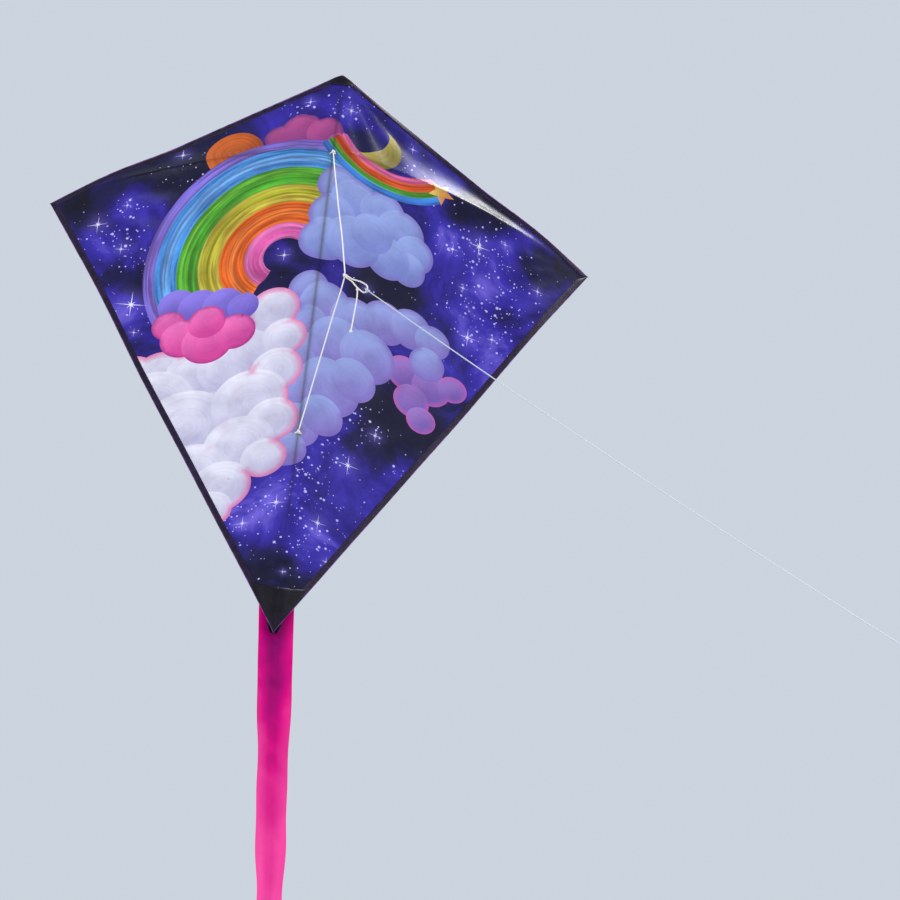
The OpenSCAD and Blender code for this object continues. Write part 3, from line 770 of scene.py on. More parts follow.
def woven_tape(name, dark, light, sheen, roughness=0.55, spacing=0.0009):
    """Dull polyester tape: a visible rib and a soft lilac sheen at glancing angles."""
    material, tree = new_material(name)
    place = add_node(tree, "ShaderNodeTexCoord").outputs["Object"]
    mottle = add_node(tree, "ShaderNodeTexNoise",
                      {"Vector": place, "Scale": 90.0, "Detail": 3.0}).outputs["Fac"]
    colour = ramp(tree, mottle, (0.35, dark), (0.7, light))
    rib = add_node(tree, "ShaderNodeTexWave",
                   {"Vector": place, "Scale": 1 / spacing / BANDS_PER_SCALE, "Distortion": 0.4},
                   wave_type="BANDS", bands_direction="DIAGONAL").outputs["Fac"]
    bump = add_node(tree, "ShaderNodeBump", {"Height": rib, "Strength": 0.3, "Distance": 0.00015})
    face = add_node(tree, "ShaderNodeBsdfPrincipled",
                    {"Base Color": colour, "Roughness": roughness, "Normal": bump.outputs[0],
                     "Specular IOR Level": 0.16, "Sheen Weight": sheen, "Sheen Tint": linear("#b070d8"),
                     "Sheen Roughness": 0.3})
    finish_material(tree, face.outputs[0])
    return material


def edge_tape():
    """Folded polyester binding: plum black with a painted violet highlight along its outer fold, ribbed along
    its length and rubbed.
    """
    material, tree = new_material("binding tape")
    tape = add_node(tree, "ShaderNodeUVMap", uv_map="tape").outputs[0]
    split = add_node(tree, "ShaderNodeSeparateXYZ", {"Vector": tape})
    place = add_node(tree, "ShaderNodeTexCoord").outputs["Object"]
    rubbed = add_node(tree, "ShaderNodeTexNoise",
                      {"Vector": place, "Scale": 120.0, "Detail": 4.0}).outputs["Fac"]
    body = ramp(tree, rubbed, (0.35, "#0f0616"), (0.72, "#231434"))
    # Painted highlight: the tape's outer fold is a lighter violet, as where light catches the rounded edge
    fold = ramp(tree, rubbed, (0.35, "#4a1f63"), (0.72, "#9a62b8"))
    colour = blend_colour(tree, span(tree, split.outputs[0], 0.0016, 0.0004), body, fold)
    ribs = add_node(tree, "ShaderNodeMapping", {"Vector": tape, "Scale": (700.0, 60.0, 1.0)}).outputs[0]
    rib = add_node(tree, "ShaderNodeTexNoise", {"Vector": ribs, "Scale": 1.0, "Detail": 1.0}).outputs["Fac"]
    weave = add_node(tree, "ShaderNodeTexWave", {"Vector": tape, "Scale": 1 / 0.0009 / BANDS_PER_SCALE},
                     wave_type="BANDS", bands_direction="Y").outputs["Fac"]
    height = reckon(tree, "ADD", rib, reckon(tree, "MULTIPLY", weave, 0.4))
    bump = add_node(tree, "ShaderNodeBump", {"Height": height, "Strength": 0.4, "Distance": 0.00025})
    face = add_node(tree, "ShaderNodeBsdfPrincipled",
                    {"Base Color": colour, "Roughness": 0.5, "Normal": bump.outputs[0],
                     "Specular IOR Level": 0.2, "Sheen Weight": 0.1, "Sheen Tint": linear("#b070d8")})
    finish_material(tree, face.outputs[0])
    return material


def braided_cord(name, pale, shade, diameter):
    """Braided polyester: fine crossing strands, drawn over a few diameters, that shade the cord's turns."""
    material, tree = new_material(name)
    along = add_node(tree, "ShaderNodeUVMap", uv_map="cord").outputs[0]
    split = add_node(tree, "ShaderNodeSeparateXYZ", {"Vector": along})
    turns = reckon(tree, "MULTIPLY", split.outputs[1], 4.0)
    pitch = reckon(tree, "DIVIDE", split.outputs[0], diameter * 1.6)
    strands = [reckon(tree, "SINE", reckon(tree, "MULTIPLY", reckon(tree, way, turns, pitch), 2 * math.pi))
               for way in ("ADD", "SUBTRACT")]
    braid = reckon(tree, "MAXIMUM", *strands)
    colour = ramp(tree, span(tree, braid, -1.0, 1.0), (0.25, shade), (0.75, pale))
    bump = add_node(tree, "ShaderNodeBump", {"Height": braid, "Strength": 0.5, "Distance": diameter * 0.08})
    face = add_node(tree, "ShaderNodeBsdfPrincipled",
                    {"Base Color": colour, "Roughness": 0.6, "Normal": bump.outputs[0], "Sheen Weight": 0.3})
    finish_material(tree, face.outputs[0])
    return material


def ribbon_cloth():
    """Thin nylon ribbon: hot pink that glows where light comes through, a soft gloss and fine cross creases.

    Painted shade: the colour is darkest near the header, where the sail shades it from the sun, and lightens
    down the length.
    """
    material, tree = new_material("thin nylon ribbon")
    cloth = add_node(tree, "ShaderNodeUVMap", uv_map="ribbon").outputs[0]
    split = add_node(tree, "ShaderNodeSeparateXYZ", {"Vector": cloth})
    edge = reckon(tree, "ABSOLUTE", split.outputs[0])
    # Painted highlight: the cupped edges are drawn lighter than the middle, as where light catches them
    cupped = span(tree, edge, 0.004, 0.018)
    cloud = add_node(tree, "ShaderNodeTexNoise",
                     {"Vector": cloth, "Scale": 22.0, "Detail": 3.0}).outputs["Fac"]
    edge_highlight = reckon(tree, "MULTIPLY", cupped, 0.26)
    patches = reckon(tree, "ADD", edge_highlight, reckon(tree, "MULTIPLY", cloud, 0.5))
    # Painted shade of the sail on the ribbon near its header
    header_shade = span(tree, split.outputs[1], 0.07, 0.3, 0.0, 0.48)
    level = reckon(tree, "ADD", patches, header_shade)
    colour = ramp(tree, level, (0.2, "#980074"), (0.5, "#ea009a"), (0.9, "#ff5cba"))
    creases = add_node(tree, "ShaderNodeMapping", {"Vector": cloth, "Scale": (18.0, 95.0, 1.0)}).outputs[0]
    folds = add_node(tree, "ShaderNodeTexNoise",
                     {"Vector": creases, "Scale": 1.0, "Detail": 3.0}).outputs["Fac"]
    creased = add_node(tree, "ShaderNodeBump", {"Height": folds, "Strength": 0.35, "Distance": 0.0012})
    weave = thread_bump(tree, cloth, 0.0007, 0.12)
    tree.links.new(creased.outputs[0], weave.inputs["Normal"])
    face = add_node(tree, "ShaderNodeBsdfPrincipled",
                    {"Base Color": colour, "Roughness": 0.4, "Normal": weave.outputs[0],
                     "Specular IOR Level": 0.2})
    through = add_node(tree, "ShaderNodeBsdfTranslucent", {"Color": colour, "Normal": weave.outputs[0]})
    mixed = add_node(tree, "ShaderNodeMixShader", {0: 0.5, 1: face.outputs[0], 2: through.outputs[0]})
    finish_material(tree, mixed.outputs[0])
    return material


def pulled_fibreglass():
    """Pultruded fibreglass: long pale strands under resin, glossy, with rub marks where fittings slide."""
    material, tree = new_material("pultruded fibreglass")
    place = add_node(tree, "ShaderNodeTexCoord").outputs["Object"]
    strands = add_node(tree, "ShaderNodeTexNoise",
                       {"Vector": place, "Scale": 420.0, "Detail": 2.0}).outputs["Fac"]
    colour = ramp(tree, strands, (0.35, "#bdb6a8"), (0.65, "#e6e0d2"))
    rubbed = add_node(tree, "ShaderNodeTexNoise",
                      {"Vector": place, "Scale": 30.0, "Detail": 3.0}).outputs["Fac"]
    bump = add_node(tree, "ShaderNodeBump", {"Height": strands, "Strength": 0.15, "Distance": 0.0001})
    face = add_node(tree, "ShaderNodeBsdfPrincipled",
                    {"Base Color": colour, "Roughness": span(tree, rubbed, 0.35, 0.7, 0.25, 0.45),
                     "Normal": bump.outputs[0], "Coat Weight": 0.3})
    finish_material(tree, face.outputs[0])
    return material


def soft_vinyl():
    """Moulded soft vinyl: near black, a low sheen with a fine moulded grain, and paler scuffs."""
    material, tree = new_material("moulded soft vinyl")
    place = add_node(tree, "ShaderNodeTexCoord").outputs["Object"]
    scuff = add_node(tree, "ShaderNodeTexNoise",
                     {"Vector": place, "Scale": 180.0, "Detail": 4.0}).outputs["Fac"]
    colour = ramp(tree, scuff, (0.4, "#1d1b22"), (0.72, "#3a3742"))
    grain = add_node(tree, "ShaderNodeTexNoise",
                     {"Vector": place, "Scale": 1800.0, "Detail": 2.0}).outputs["Fac"]
    bump = add_node(tree, "ShaderNodeBump", {"Height": grain, "Strength": 0.25, "Distance": 0.00006})
    face = add_node(tree, "ShaderNodeBsdfPrincipled",
                    {"Base Color": colour, "Roughness": span(tree, scuff, 0.4, 0.7, 0.42, 0.6),
                     "Normal": bump.outputs[0]})
    finish_material(tree, face.outputs[0])
    return material


def matt_board():
    """Matt painted floor: pale, faintly mottled."""
    material, tree = new_material("matt painted floor")
    place = add_node(tree, "ShaderNodeTexCoord").outputs["Object"]
    mottle = add_node(tree, "ShaderNodeTexNoise", {"Vector": place, "Scale": 2.0}).outputs["Fac"]
    colour = ramp(tree, mottle, (0.4, "#dfe2e6"), (0.6, "#e2e5e9"))
    face = add_node(tree, "ShaderNodeBsdfPrincipled", {"Base Color": colour, "Roughness": 0.9})
    finish_material(tree, face.outputs[0])
    return material


MAKERS = {
    "sailcloth": printed_sailcloth,
    "binding": edge_tape,
    "corner": lambda: woven_tape("corner cloth", "#0a060e", "#170f20", 0.02, 0.5, 0.0012),
    "bridle": lambda: braided_cord("braided polyester bridle", "#f3ebe2", "#bdb2aa", 0.0016),
    "line": lambda: braided_cord("braided polyester line", "#cfd2dc", "#959aab", 0.0012),
    "ribbon": ribbon_cloth,
    "fibreglass": pulled_fibreglass,
    "vinyl": soft_vinyl,
    "black thread": lambda: woven_tape("black sewing thread", "#2b2436", "#4c3f63", 0.6, 0.6, 0.0004),
    "pink thread": lambda: woven_tape("pink sewing thread", "#c2107c", "#ee4fb0", 0.4, 0.6, 0.0004),
    "floor": matt_board,
}
made = {}


def material(name):
    if name not in made:
        made[name] = MAKERS[name]()
    return made[name]


# ---- Stitches ----


def lockstitch_tree():
    """Lays one small thread after another along a line, and leaves them as real mesh."""
    tree = bpy.data.node_groups.new("Lockstitch", "GeometryNodeTree")
    tree.interface.new_socket("Geometry", in_out="INPUT", socket_type="NodeSocketGeometry")
    sockets = {}
    for name, default in (("Spacing", 0.003), ("Stitch length", 0.0022), ("Thread", 0.0005)):
        socket = tree.interface.new_socket(name, in_out="INPUT", socket_type="NodeSocketFloat")
        socket.default_value = default
        sockets[name] = socket.identifier
    socket = tree.interface.new_socket("Material", in_out="INPUT", socket_type="NodeSocketMaterial")
    sockets["Material"] = socket.identifier
    tree.interface.new_socket("Geometry", in_out="OUTPUT", socket_type="NodeSocketGeometry")
    given = add_node(tree, "NodeGroupInput")
    line = add_node(tree, "GeometryNodeMeshToCurve", {"Mesh": given.outputs["Geometry"]})
    spaced = add_node(tree, "GeometryNodeResampleCurve",
                      {"Curve": line.outputs[0], "Length": given.outputs["Spacing"]}, mode="LENGTH")
    thread = given.outputs["Thread"]
    size = add_node(tree, "ShaderNodeCombineXYZ", {0: given.outputs["Stitch length"], 1: thread, 2: thread})
    bead = add_node(tree, "GeometryNodeMeshUVSphere", {"Segments": 6, "Rings": 5, "Radius": 0.5})
    tangent = add_node(tree, "GeometryNodeInputTangent")
    turned = add_node(tree, "FunctionNodeAlignRotationToVector", {"Vector": tangent.outputs[0]}, axis="X")
    laid = add_node(tree, "GeometryNodeInstanceOnPoints",
                    {"Points": spaced.outputs[0], "Instance": bead.outputs["Mesh"],
                     "Rotation": turned.outputs[0], "Scale": size.outputs[0]})
    real = add_node(tree, "GeometryNodeRealizeInstances", {"Geometry": laid.outputs[0]})
    dyed = add_node(tree, "GeometryNodeSetMaterial",
                    {"Geometry": real.outputs[0], "Material": given.outputs["Material"]})
    add_node(tree, "NodeGroupOutput", {"Geometry": dyed.outputs[0]})
    return tree, sockets


def sew(name, rows, thread, spacing=3.0, length=2.2, thickness=0.55):
    """A piece that holds stitches along rows of points in metres. Sizes are in millimetres."""
    if "lockstitch" not in made:
        made["lockstitch"] = lockstitch_tree()
    tree, sockets = made["lockstitch"]
    points = [tuple(p) for row in rows for p in row]
    edges = []
    start = 0
    for row in rows:
        edges += [(i, i + 1) for i in range(start, start + len(row) - 1)]
        start += len(row)
    mesh = bpy.data.meshes.new(name + "_line")
    mesh.from_pydata(points, edges, [])
    guide = bpy.data.objects.new(name + "_line", mesh)
    bpy.context.scene.collection.objects.link(guide)
    modifier = guide.modifiers.new("Lockstitch", "NODES")
    modifier.node_group = tree
    modifier[sockets["Spacing"]] = spacing * MM
    modifier[sockets["Stitch length"]] = length * MM
    modifier[sockets["Thread"]] = thickness * MM
    modifier[sockets["Material"]] = material(thread)
    bpy.context.view_layer.update()
    ready = guide.evaluated_get(bpy.context.evaluated_depsgraph_get())
    stitches = bpy.data.meshes.new_from_object(ready)
    if not stitches.polygons:
        raise RuntimeError(name + ": no stitches were made")
    bpy.data.objects.remove(guide)
    piece = bpy.data.objects.new(name, stitches)
    bpy.context.scene.collection.objects.link(piece)
    if not stitches.materials:
        stitches.materials.append(material(thread))
    return piece


# ---- Settings ----


class KiteSailSettings(bpy.types.PropertyGroup):
    binding_width: bpy.props.FloatProperty(
        name="Binding width", description="Width of the tape round the sail", default=0.0074, unit="LENGTH")
    binding_thickness: bpy.props.FloatProperty(
        name="Binding thickness", description="Thickness of the folded tape", default=0.0011, unit="LENGTH")
    stitch_spacing: bpy.props.FloatProperty(
        name="Stitch spacing", description="Distance from stitch to stitch", default=0.003, unit="LENGTH")


class KiteCordSettings(bpy.types.PropertyGroup):
    bridle_diameter: bpy.props.FloatProperty(
        name="Bridle diameter", description="Diameter of the bridle cord", default=0.0016, unit="LENGTH")
    line_diameter: bpy.props.FloatProperty(
        name="Line diameter", description="Diameter of the flying line", default=0.0012, unit="LENGTH")


class KiteTailSettings(bpy.types.PropertyGroup):
    ribbon_width: bpy.props.FloatProperty(
        name="Ribbon width", description="Width of the ribbon tail", default=0.04, unit="LENGTH")
    cup: bpy.props.FloatProperty(
        name="Cup", description="How far the ribbon's edges curl towards the flyer", default=0.0022,
        unit="LENGTH")


class KiteStageSettings(bpy.types.PropertyGroup):
    distance: bpy.props.FloatProperty(
        name="Distance", description="Distance from the camera to the point that it looks at", default=5.0,
        unit="LENGTH")
    azimuth: bpy.props.FloatProperty(
        name="Azimuth", description="Turn of the camera round the kite", default=math.radians(-3.405),
        subtype="ANGLE")
    elevation: bpy.props.FloatProperty(
        name="Elevation", description="Height of the camera as an angle, below the kite", subtype="ANGLE",
        default=math.radians(-29.941))
    roll: bpy.props.FloatProperty(
        name="Roll", description="Tilt of the camera about its own axis", default=math.radians(5.941),
        subtype="ANGLE")
    aim: bpy.props.FloatVectorProperty(
        name="Aim", description="Point that the camera looks at", default=(0.1762, 0.0, -0.3876),
        subtype="TRANSLATION")
    lens: bpy.props.FloatProperty(
        name="Lens", description="Focal length in millimetres on a 36 mm sensor", default=173.46)
    air: bpy.props.FloatVectorProperty(
        name="Surroundings", description="Colour of the soft light all round", default=linear("#dbe4ef")[:3],
        subtype="COLOR")


SETTINGS = {"kite_sail": KiteSailSettings, "kite_cord": KiteCordSettings, "kite_tail": KiteTailSettings,
            "kite_stage": KiteStageSettings}


# ---- Stage ----


class KITE_OT_stage(bpy.types.Operator):
    """Set the camera, the soft lights and the pale floor"""

    bl_idname = "kite.stage"
    bl_label = "Stage"

    def execute(self, context):
        settings = context.scene.kite_stage
        azimuth, elevation = settings.azimuth, settings.elevation
        away = Vector((math.sin(azimuth) * math.cos(elevation), -math.cos(azimuth) * math.cos(elevation),
                       math.sin(elevation)))
        right = (-away).cross(Vector((0, 0, 1))).normalized()
        up = right.cross(-away)
        turned_right = math.cos(settings.roll) * right + math.sin(settings.roll) * up
        turned_up = math.cos(settings.roll) * up - math.sin(settings.roll) * right
        camera = bpy.data.objects.new("camera", bpy.data.cameras.new("camera"))
        context.scene.collection.objects.link(camera)
        camera.data.lens = settings.lens
        camera.data.sensor_width = 36
        camera.data.clip_end = 100
        place = Matrix((turned_right, turned_up, away)).transposed().to_4x4()
        place.translation = Vector(settings.aim) + settings.distance * away
        camera.matrix_world = place
        context.scene.camera = camera

        world = bpy.data.worlds.new("soft surroundings")
        world.use_nodes = True
        world.node_tree.nodes.clear()
        light = add_node(world.node_tree, "ShaderNodeBackground",
                         {"Color": list(settings.air) + [1.0], "Strength": 0.85})
        add_node(world.node_tree, "ShaderNodeOutputWorld", {"Surface": light.outputs[0]})
        context.scene.world = world
        context.scene.view_settings.view_transform = "Standard"

        for name, place, size, power in (
            ("key softbox", (-2.6, -3.2, -0.6), 2.2, 70.0),
            ("fill softbox", (2.6, -3.0, -1.8), 2.4, 40.0),
            ("back softbox", (1.8, 0.68, 3.06), 2.2, 230.0),
        ):
            lamp = bpy.data.lights.new(name, "AREA")
            lamp.shape = "DISK"
            lamp.size = size
            lamp.energy = power
            lit = bpy.data.objects.new(name, lamp)
            context.scene.collection.objects.link(lit)
            lit.location = place
            lit.rotation_euler = (Vector((0, 0, -0.3)) - Vector(place)).to_track_quat("-Z", "Y").to_euler()

        half = 30.0
        level = -3.4
        corners = [(-half, -half, level), (half, -half, level), (half, half, level), (-half, half, level)]
        floor = mesh_piece("floor", corners, [(0, 1, 2, 3)], material("floor"))
        return {"FINISHED"}


# ---- Cords ----

TOW = np.array([30.0, -69.0, -215.0])
PULL = np.array([0.337, -0.692, -0.638])
PULL /= np.linalg.norm(PULL)
SIDE_AXIS = np.cross([PULL[0], PULL[1], 0], [0, 0, 1])
SIDE_AXIS /= np.linalg.norm(SIDE_AXIS)
RISE = np.cross(SIDE_AXIS, PULL)
UPPER_LEG = ((0.3, -7.55, -7.9), (2.5, -12.5, -25), (5, -18, -43), (9, -26, -70), (13, -35, -98),
             (18, -44.5, -129), (22.5, -54, -159), (26, -61, -185), (28.5, -66, -203), (29.8, -68.6, -213.2))
LOWER_LEG = ((29.8, -68.6, -216.8), (28, -64, -229), (25.5, -59, -243), (21.5, -51.5, -265), (17, -42, -292),
             (12.5, -33, -319), (8, -23.5, -346), (4.5, -16, -367.5), (2, -11, -382), (0.4, -7.65, -391.6))
TOW_LOOP_HALF = ((4, 1.1), (14, 1.1), (26, 1.3), (36, 2.6), (46, 3.8), (56, 4.4), (65, 4.6), (71, 4.2),
                 (74.2, 2.9), (75, 1))
TOW_LOOP_END = 75.0
TAG = ((45.4, -100.8, -252.9), (45.8, -101.4, -262), (45.5, -102, -272), (45, -102, -281),
       (44.5, -101.5, -290), (44, -101, -299), (43.5, -100.5, -306.5))
TAG_STOPPER = (43.4, -100.3, -307.6)
LINE_START = 4.4
LINE_END = 1382.0
LINE_SAG = 6.0
LINE_STEPS = 16
END_LOOP_HALF = ((3, 1), (13, 2.6), (24, 6), (34, 8), (43, 7.4), (49, 4.6), (51.5, 1.6))
HITCH = TOW + TOW_LOOP_END * PULL
TIE_KNOT_Y = -6.85


def loop_route(origin, half):
    out = [origin + a * PULL + b * RISE for a, b in half]
    return out + [origin + a * PULL - b * RISE for a, b in reversed(half)]


def line_point(t):
    along = LINE_START + (LINE_END - LINE_START) * t
    return HITCH + along * PULL - np.array([0, 0, LINE_SAG * 4 * t * (1 - t)])


def overhand(name, centre, towards, size, cord_radius, cloth):
    """A small tight knot: a trefoil of cord, drawn in along one direction. Sizes are in millimetres."""
    turns = np.linspace(0, 2 * math.pi, 56, endpoint=False)
    knot = np.stack([np.sin(turns) + 2 * np.sin(2 * turns), np.cos(turns) - 2 * np.cos(2 * turns),
                     -1.3 * np.sin(3 * turns)], 1)
    knot *= (size - cord_radius) / 3.0
    turn = Vector((0, 0, 1)).rotation_difference(Vector(towards)).to_matrix()
    path = (knot @ np.array(turn).T + np.array(centre)) * MM
    return tube(name, path, cord_radius * MM, material(cloth), sides=8, closed=True)


def ring(name, centre, axis, radius, cord_radius, cloth):
    turns = np.linspace(0, 2 * math.pi, 40, endpoint=False)
    circle = np.stack([radius * np.cos(turns), radius * np.sin(turns), 0 * turns], 1)
    turn = Vector((0, 0, 1)).rotation_difference(Vector(axis)).to_matrix()
    path = (circle @ np.array(turn).T + np.array(centre)) * MM
    return tube(name, path, cord_radius * MM, material(cloth), sides=10, closed=True)


class KITE_OT_cords(bpy.types.Operator):
    """Tie the bridle, the tow loop, its spare cord and the flying line"""

    bl_idname = "kite.cords"
    bl_label = "Cords"

    def execute(self, context):
        settings = context.scene.kite_cord
        thick = settings.bridle_diameter
        thin = settings.line_diameter
        cord_radius = thick / 2 / MM
        line_radius = thin / 2 / MM

        def lay(name, route, diameter, cloth, body, node, step, **facts):
            path = smooth_path(route, step) * MM
            piece = tube(name, path, diameter / 2, material(cloth))
            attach(piece, body)
            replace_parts(piece, node)
            return piece

        def tie(piece, body, *nodes):
            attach(piece, body)
            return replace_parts(piece, *nodes)

        knot = overhand("tow_knot", TOW, -RISE, 3.3, cord_radius * 1.1, "bridle")
        knot = tie(knot, "bridle", "bridle_knot")
        lay("bridle_cord_upper", UPPER_LEG, thick, "bridle", "bridle", "bridle_upper_leg", 5.0,
            far_end="knot", stiffness="limp", lay="taut", with_pieces=[knot])
        lay("bridle_cord_lower", LOWER_LEG[::-1], thick, "bridle", "bridle", "bridle_lower_leg", 5.0,
            far_end="object", stiffness="limp", lay="taut")
        tag_centre = TOW + 50 * PULL - 5 * RISE
        tag_knot = overhand("spare_cord_knot", tag_centre, PULL, 2.2, cord_radius, "bridle")
        tag_knot = tie(tag_knot, "tow_loop", "tag_knot")
        lay("tow_loop_cord", loop_route(TOW, TOW_LOOP_HALF), thick, "bridle", "tow_loop", "tow_loop", 2.5,
            far_end="object", stiffness="limp", lay="taut", with_pieces=[tag_knot])
        stopper = overhand("spare_cord_stopper", TAG_STOPPER, (0, 0, 1), 2.2, cord_radius, "bridle")
        stopper = tie(stopper, "tag", "tag_stopper")
        lay("spare_cord", TAG, thick, "bridle", "tag", "tag_cord", 3.0, far_end="knot", stiffness="limp",
            lay="hanging", with_pieces=[stopper])

        hitch_ring = ring("hitch_ring", HITCH, RISE, 1.8, line_radius, "line")
        hitch_knot = overhand("hitch_knot", HITCH + 3.4 * PULL, PULL, 2.4, line_radius, "line")
        hitch = tie(join("line_hitch_knot", [hitch_ring, hitch_knot]), "line", "line_hitch")
        end_knot = overhand("end_knot", HITCH + (LINE_END + 1.5) * PULL, PULL, 2.6, line_radius, "line")
        end_knot = tie(end_knot, "line", "line_end_knot")
        route = [line_point(k / LINE_STEPS) for k in range(LINE_STEPS + 1)]
        lay("flying_line_cord", route, thin, "line", "line", "flying_line", 12.0, far_end="knot",
            stiffness="limp", lay="taut", with_pieces=[hitch, end_knot])
        lay("end_loop_cord", loop_route(HITCH + LINE_END * PULL, END_LOOP_HALF), thin, "line", "line",
            "line_end_loop", 3.0, far_end="object", stiffness="limp", lay="taut")

        for name, drop in TIE_DROPS.items():
            front = STRIP_FRONT + 0.3 + cord_radius
            back = 2.1 + cord_radius
            loop = ring(name + "_loop", (0, (back - front) / 2, -drop), (0, 0, 1), (back + front) / 2,
                        cord_radius, "bridle")
            bow = overhand(name + "_bow", (0, TIE_KNOT_Y, -drop), (0, 1, 0), 2.7, cord_radius, "bridle")
            tie(join(name + "_tie_cord", [loop, bow]), "frame", name + "_tie")
        return {"FINISHED"}


# ---- Sail, binding, patches and pockets ----


def binding_station(side, edge, t, width, thickness):
    """The tape's outline across the edge, at a share t of the way from the spine to the side corner."""
    slope = TOP_SLOPE if edge == "upper" else LOW_SLOPE
    inward = -1 if edge == "upper" else 1
    x = TIP_X * t
    edge_z = top_z(x) if edge == "upper" else low_z(x)
    inner = width * math.hypot(1, slope)
    half = thickness / 2
    profile = ((inner, 0.0), (inner - 0.5, -half * 0.8), (inner * 0.6, -half), (inner * 0.12, -half),
               (0.0, -half * 0.7), (-0.45, 0.0), (0.0, half * 0.7), (inner * 0.12, half), (inner * 0.6, half),
               (inner - 0.5, half * 0.8))
    # Near the side corner the tape narrows, where the two edges meet in a mitre
    room = max(0.8, (top_z(x) - low_z(x)) / 2)
    share = min(1.0, room / inner)
    return [(SIDES[side] * x, edge_z + inward * depth * share, back, max(0.0, depth) * MM)
            for depth, back in profile]


def build_binding(side, edge, width, thickness):
    stations = [binding_station(side, edge, 1 - (1 - k / 90) ** 1.15, width, thickness) for k in range(91)]
    grid = np.array(stations)
    points = on_cloth(grid[..., 0], grid[..., 1], grid[..., 2]).reshape(-1, 3)
    along = np.hypot(grid[..., 0] - grid[0, 0, 0], grid[..., 1] - grid[0, 0, 1]) * MM
    tape = np.stack([grid[..., 3], along], -1).reshape(-1, 2)
    around = grid.shape[1]
    faces = []
    for i in range(len(grid) - 1):
        for j in range(around):
            a, b = i * around + j, i * around + (j + 1) % around
            faces.append((a, b, b + around, a + around))
    faces.append(tuple(range(around)))
    faces.append(tuple((len(grid) - 1) * around + j for j in reversed(range(around))))
    piece = mesh_piece(f"{edge}_binding_tape_{side}", points, faces, material("binding"))
    name_map(piece, "tape", tape)
    return face_out(piece)


def hem_row(side, edge, inset, back, start=0.0, end=0.97):
    """A row of points along an edge, a distance in from it."""
    slope = TOP_SLOPE if edge == "upper" else LOW_SLOPE
    inward = -1 if edge == "upper" else 1
    x = np.linspace(start * TIP_X, end * TIP_X, 90)
    edge_z = top_z(x) if edge == "upper" else low_z(x)
    return on_cloth(SIDES[side] * x, edge_z + inward * inset * math.hypot(1, slope), back)


def patch_shell(x0, x1, low, high, from_back, to_back, columns=14, rows=12):
    """A cloth patch that follows the sail between two heights."""
    x = np.linspace(x0, x1, columns)[:, None] + np.zeros((1, rows))
    share = np.linspace(0, 1, rows)[None, :]
    z = low(x) + (high(x) - low(x)) * share
    front = on_cloth(x, z, np.full_like(x, from_back))
    back = on_cloth(x, z, np.full_like(x, to_back))
    return front, back


def patch_piece(name, shells, cloth="corner"):
    pieces = []
    for index, (front, back) in enumerate(shells):
        points, faces = shell(front, back)
        pieces.append(face_out(mesh_piece(f"{name}_{index}", points, faces, material(cloth))))
    return join(name, pieces) if len(pieces) > 1 else pieces[0]


PATCH_GAP = 0.15
PATCH_T = 0.35
END_PATCH_HALF = 20.0
NOSE_PATCH_DROP = 30.0
NOSE_FRONT_DROP = 15.0
TAIL_PATCH_RISE = 58.0
TIP_PATCH_LEN = 46.0
TIP_PATCH_DROP = 24.0


class KITE_OT_sail(bpy.types.Operator):
    """Cut, print and hang the two halves of the sail"""

    bl_idname = "kite.sail"
    bl_label = "Printed sail"

    def execute(self, context):
        cut = cut_print()
        for side in SIDES:
            piece = build_sail_half(side, cut, material("sailcloth"))
            on_wing(piece)
            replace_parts(piece, "sail_" + side, "sail_spine_strip")
        return {"FINISHED"}


class KITE_OT_binding(bpy.types.Operator):
    """Fold and sew the tape round the sail's edge"""

    bl_idname = "kite.binding"
    bl_label = "Binding"

    def execute(self, context):
        settings = context.scene.kite_sail
        width = settings.binding_width / MM
        thick = settings.binding_thickness / MM
        for side in SIDES:
            for edge in ("upper", "lower"):
                piece = on_wing(build_binding(side, edge, width, thick))
                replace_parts(piece, f"{edge}_binding_{side}")
            rows = [hem_row(side, edge, width - 1.4, back * (thick / 2 + 0.12)) for edge in ("upper", "lower")
                    for back in (-1, 1)]
            stitches = sew("binding_stitches_" + side, rows, "black thread", settings.stitch_spacing / MM)
            on_wing(stitches)
        return {"FINISHED"}


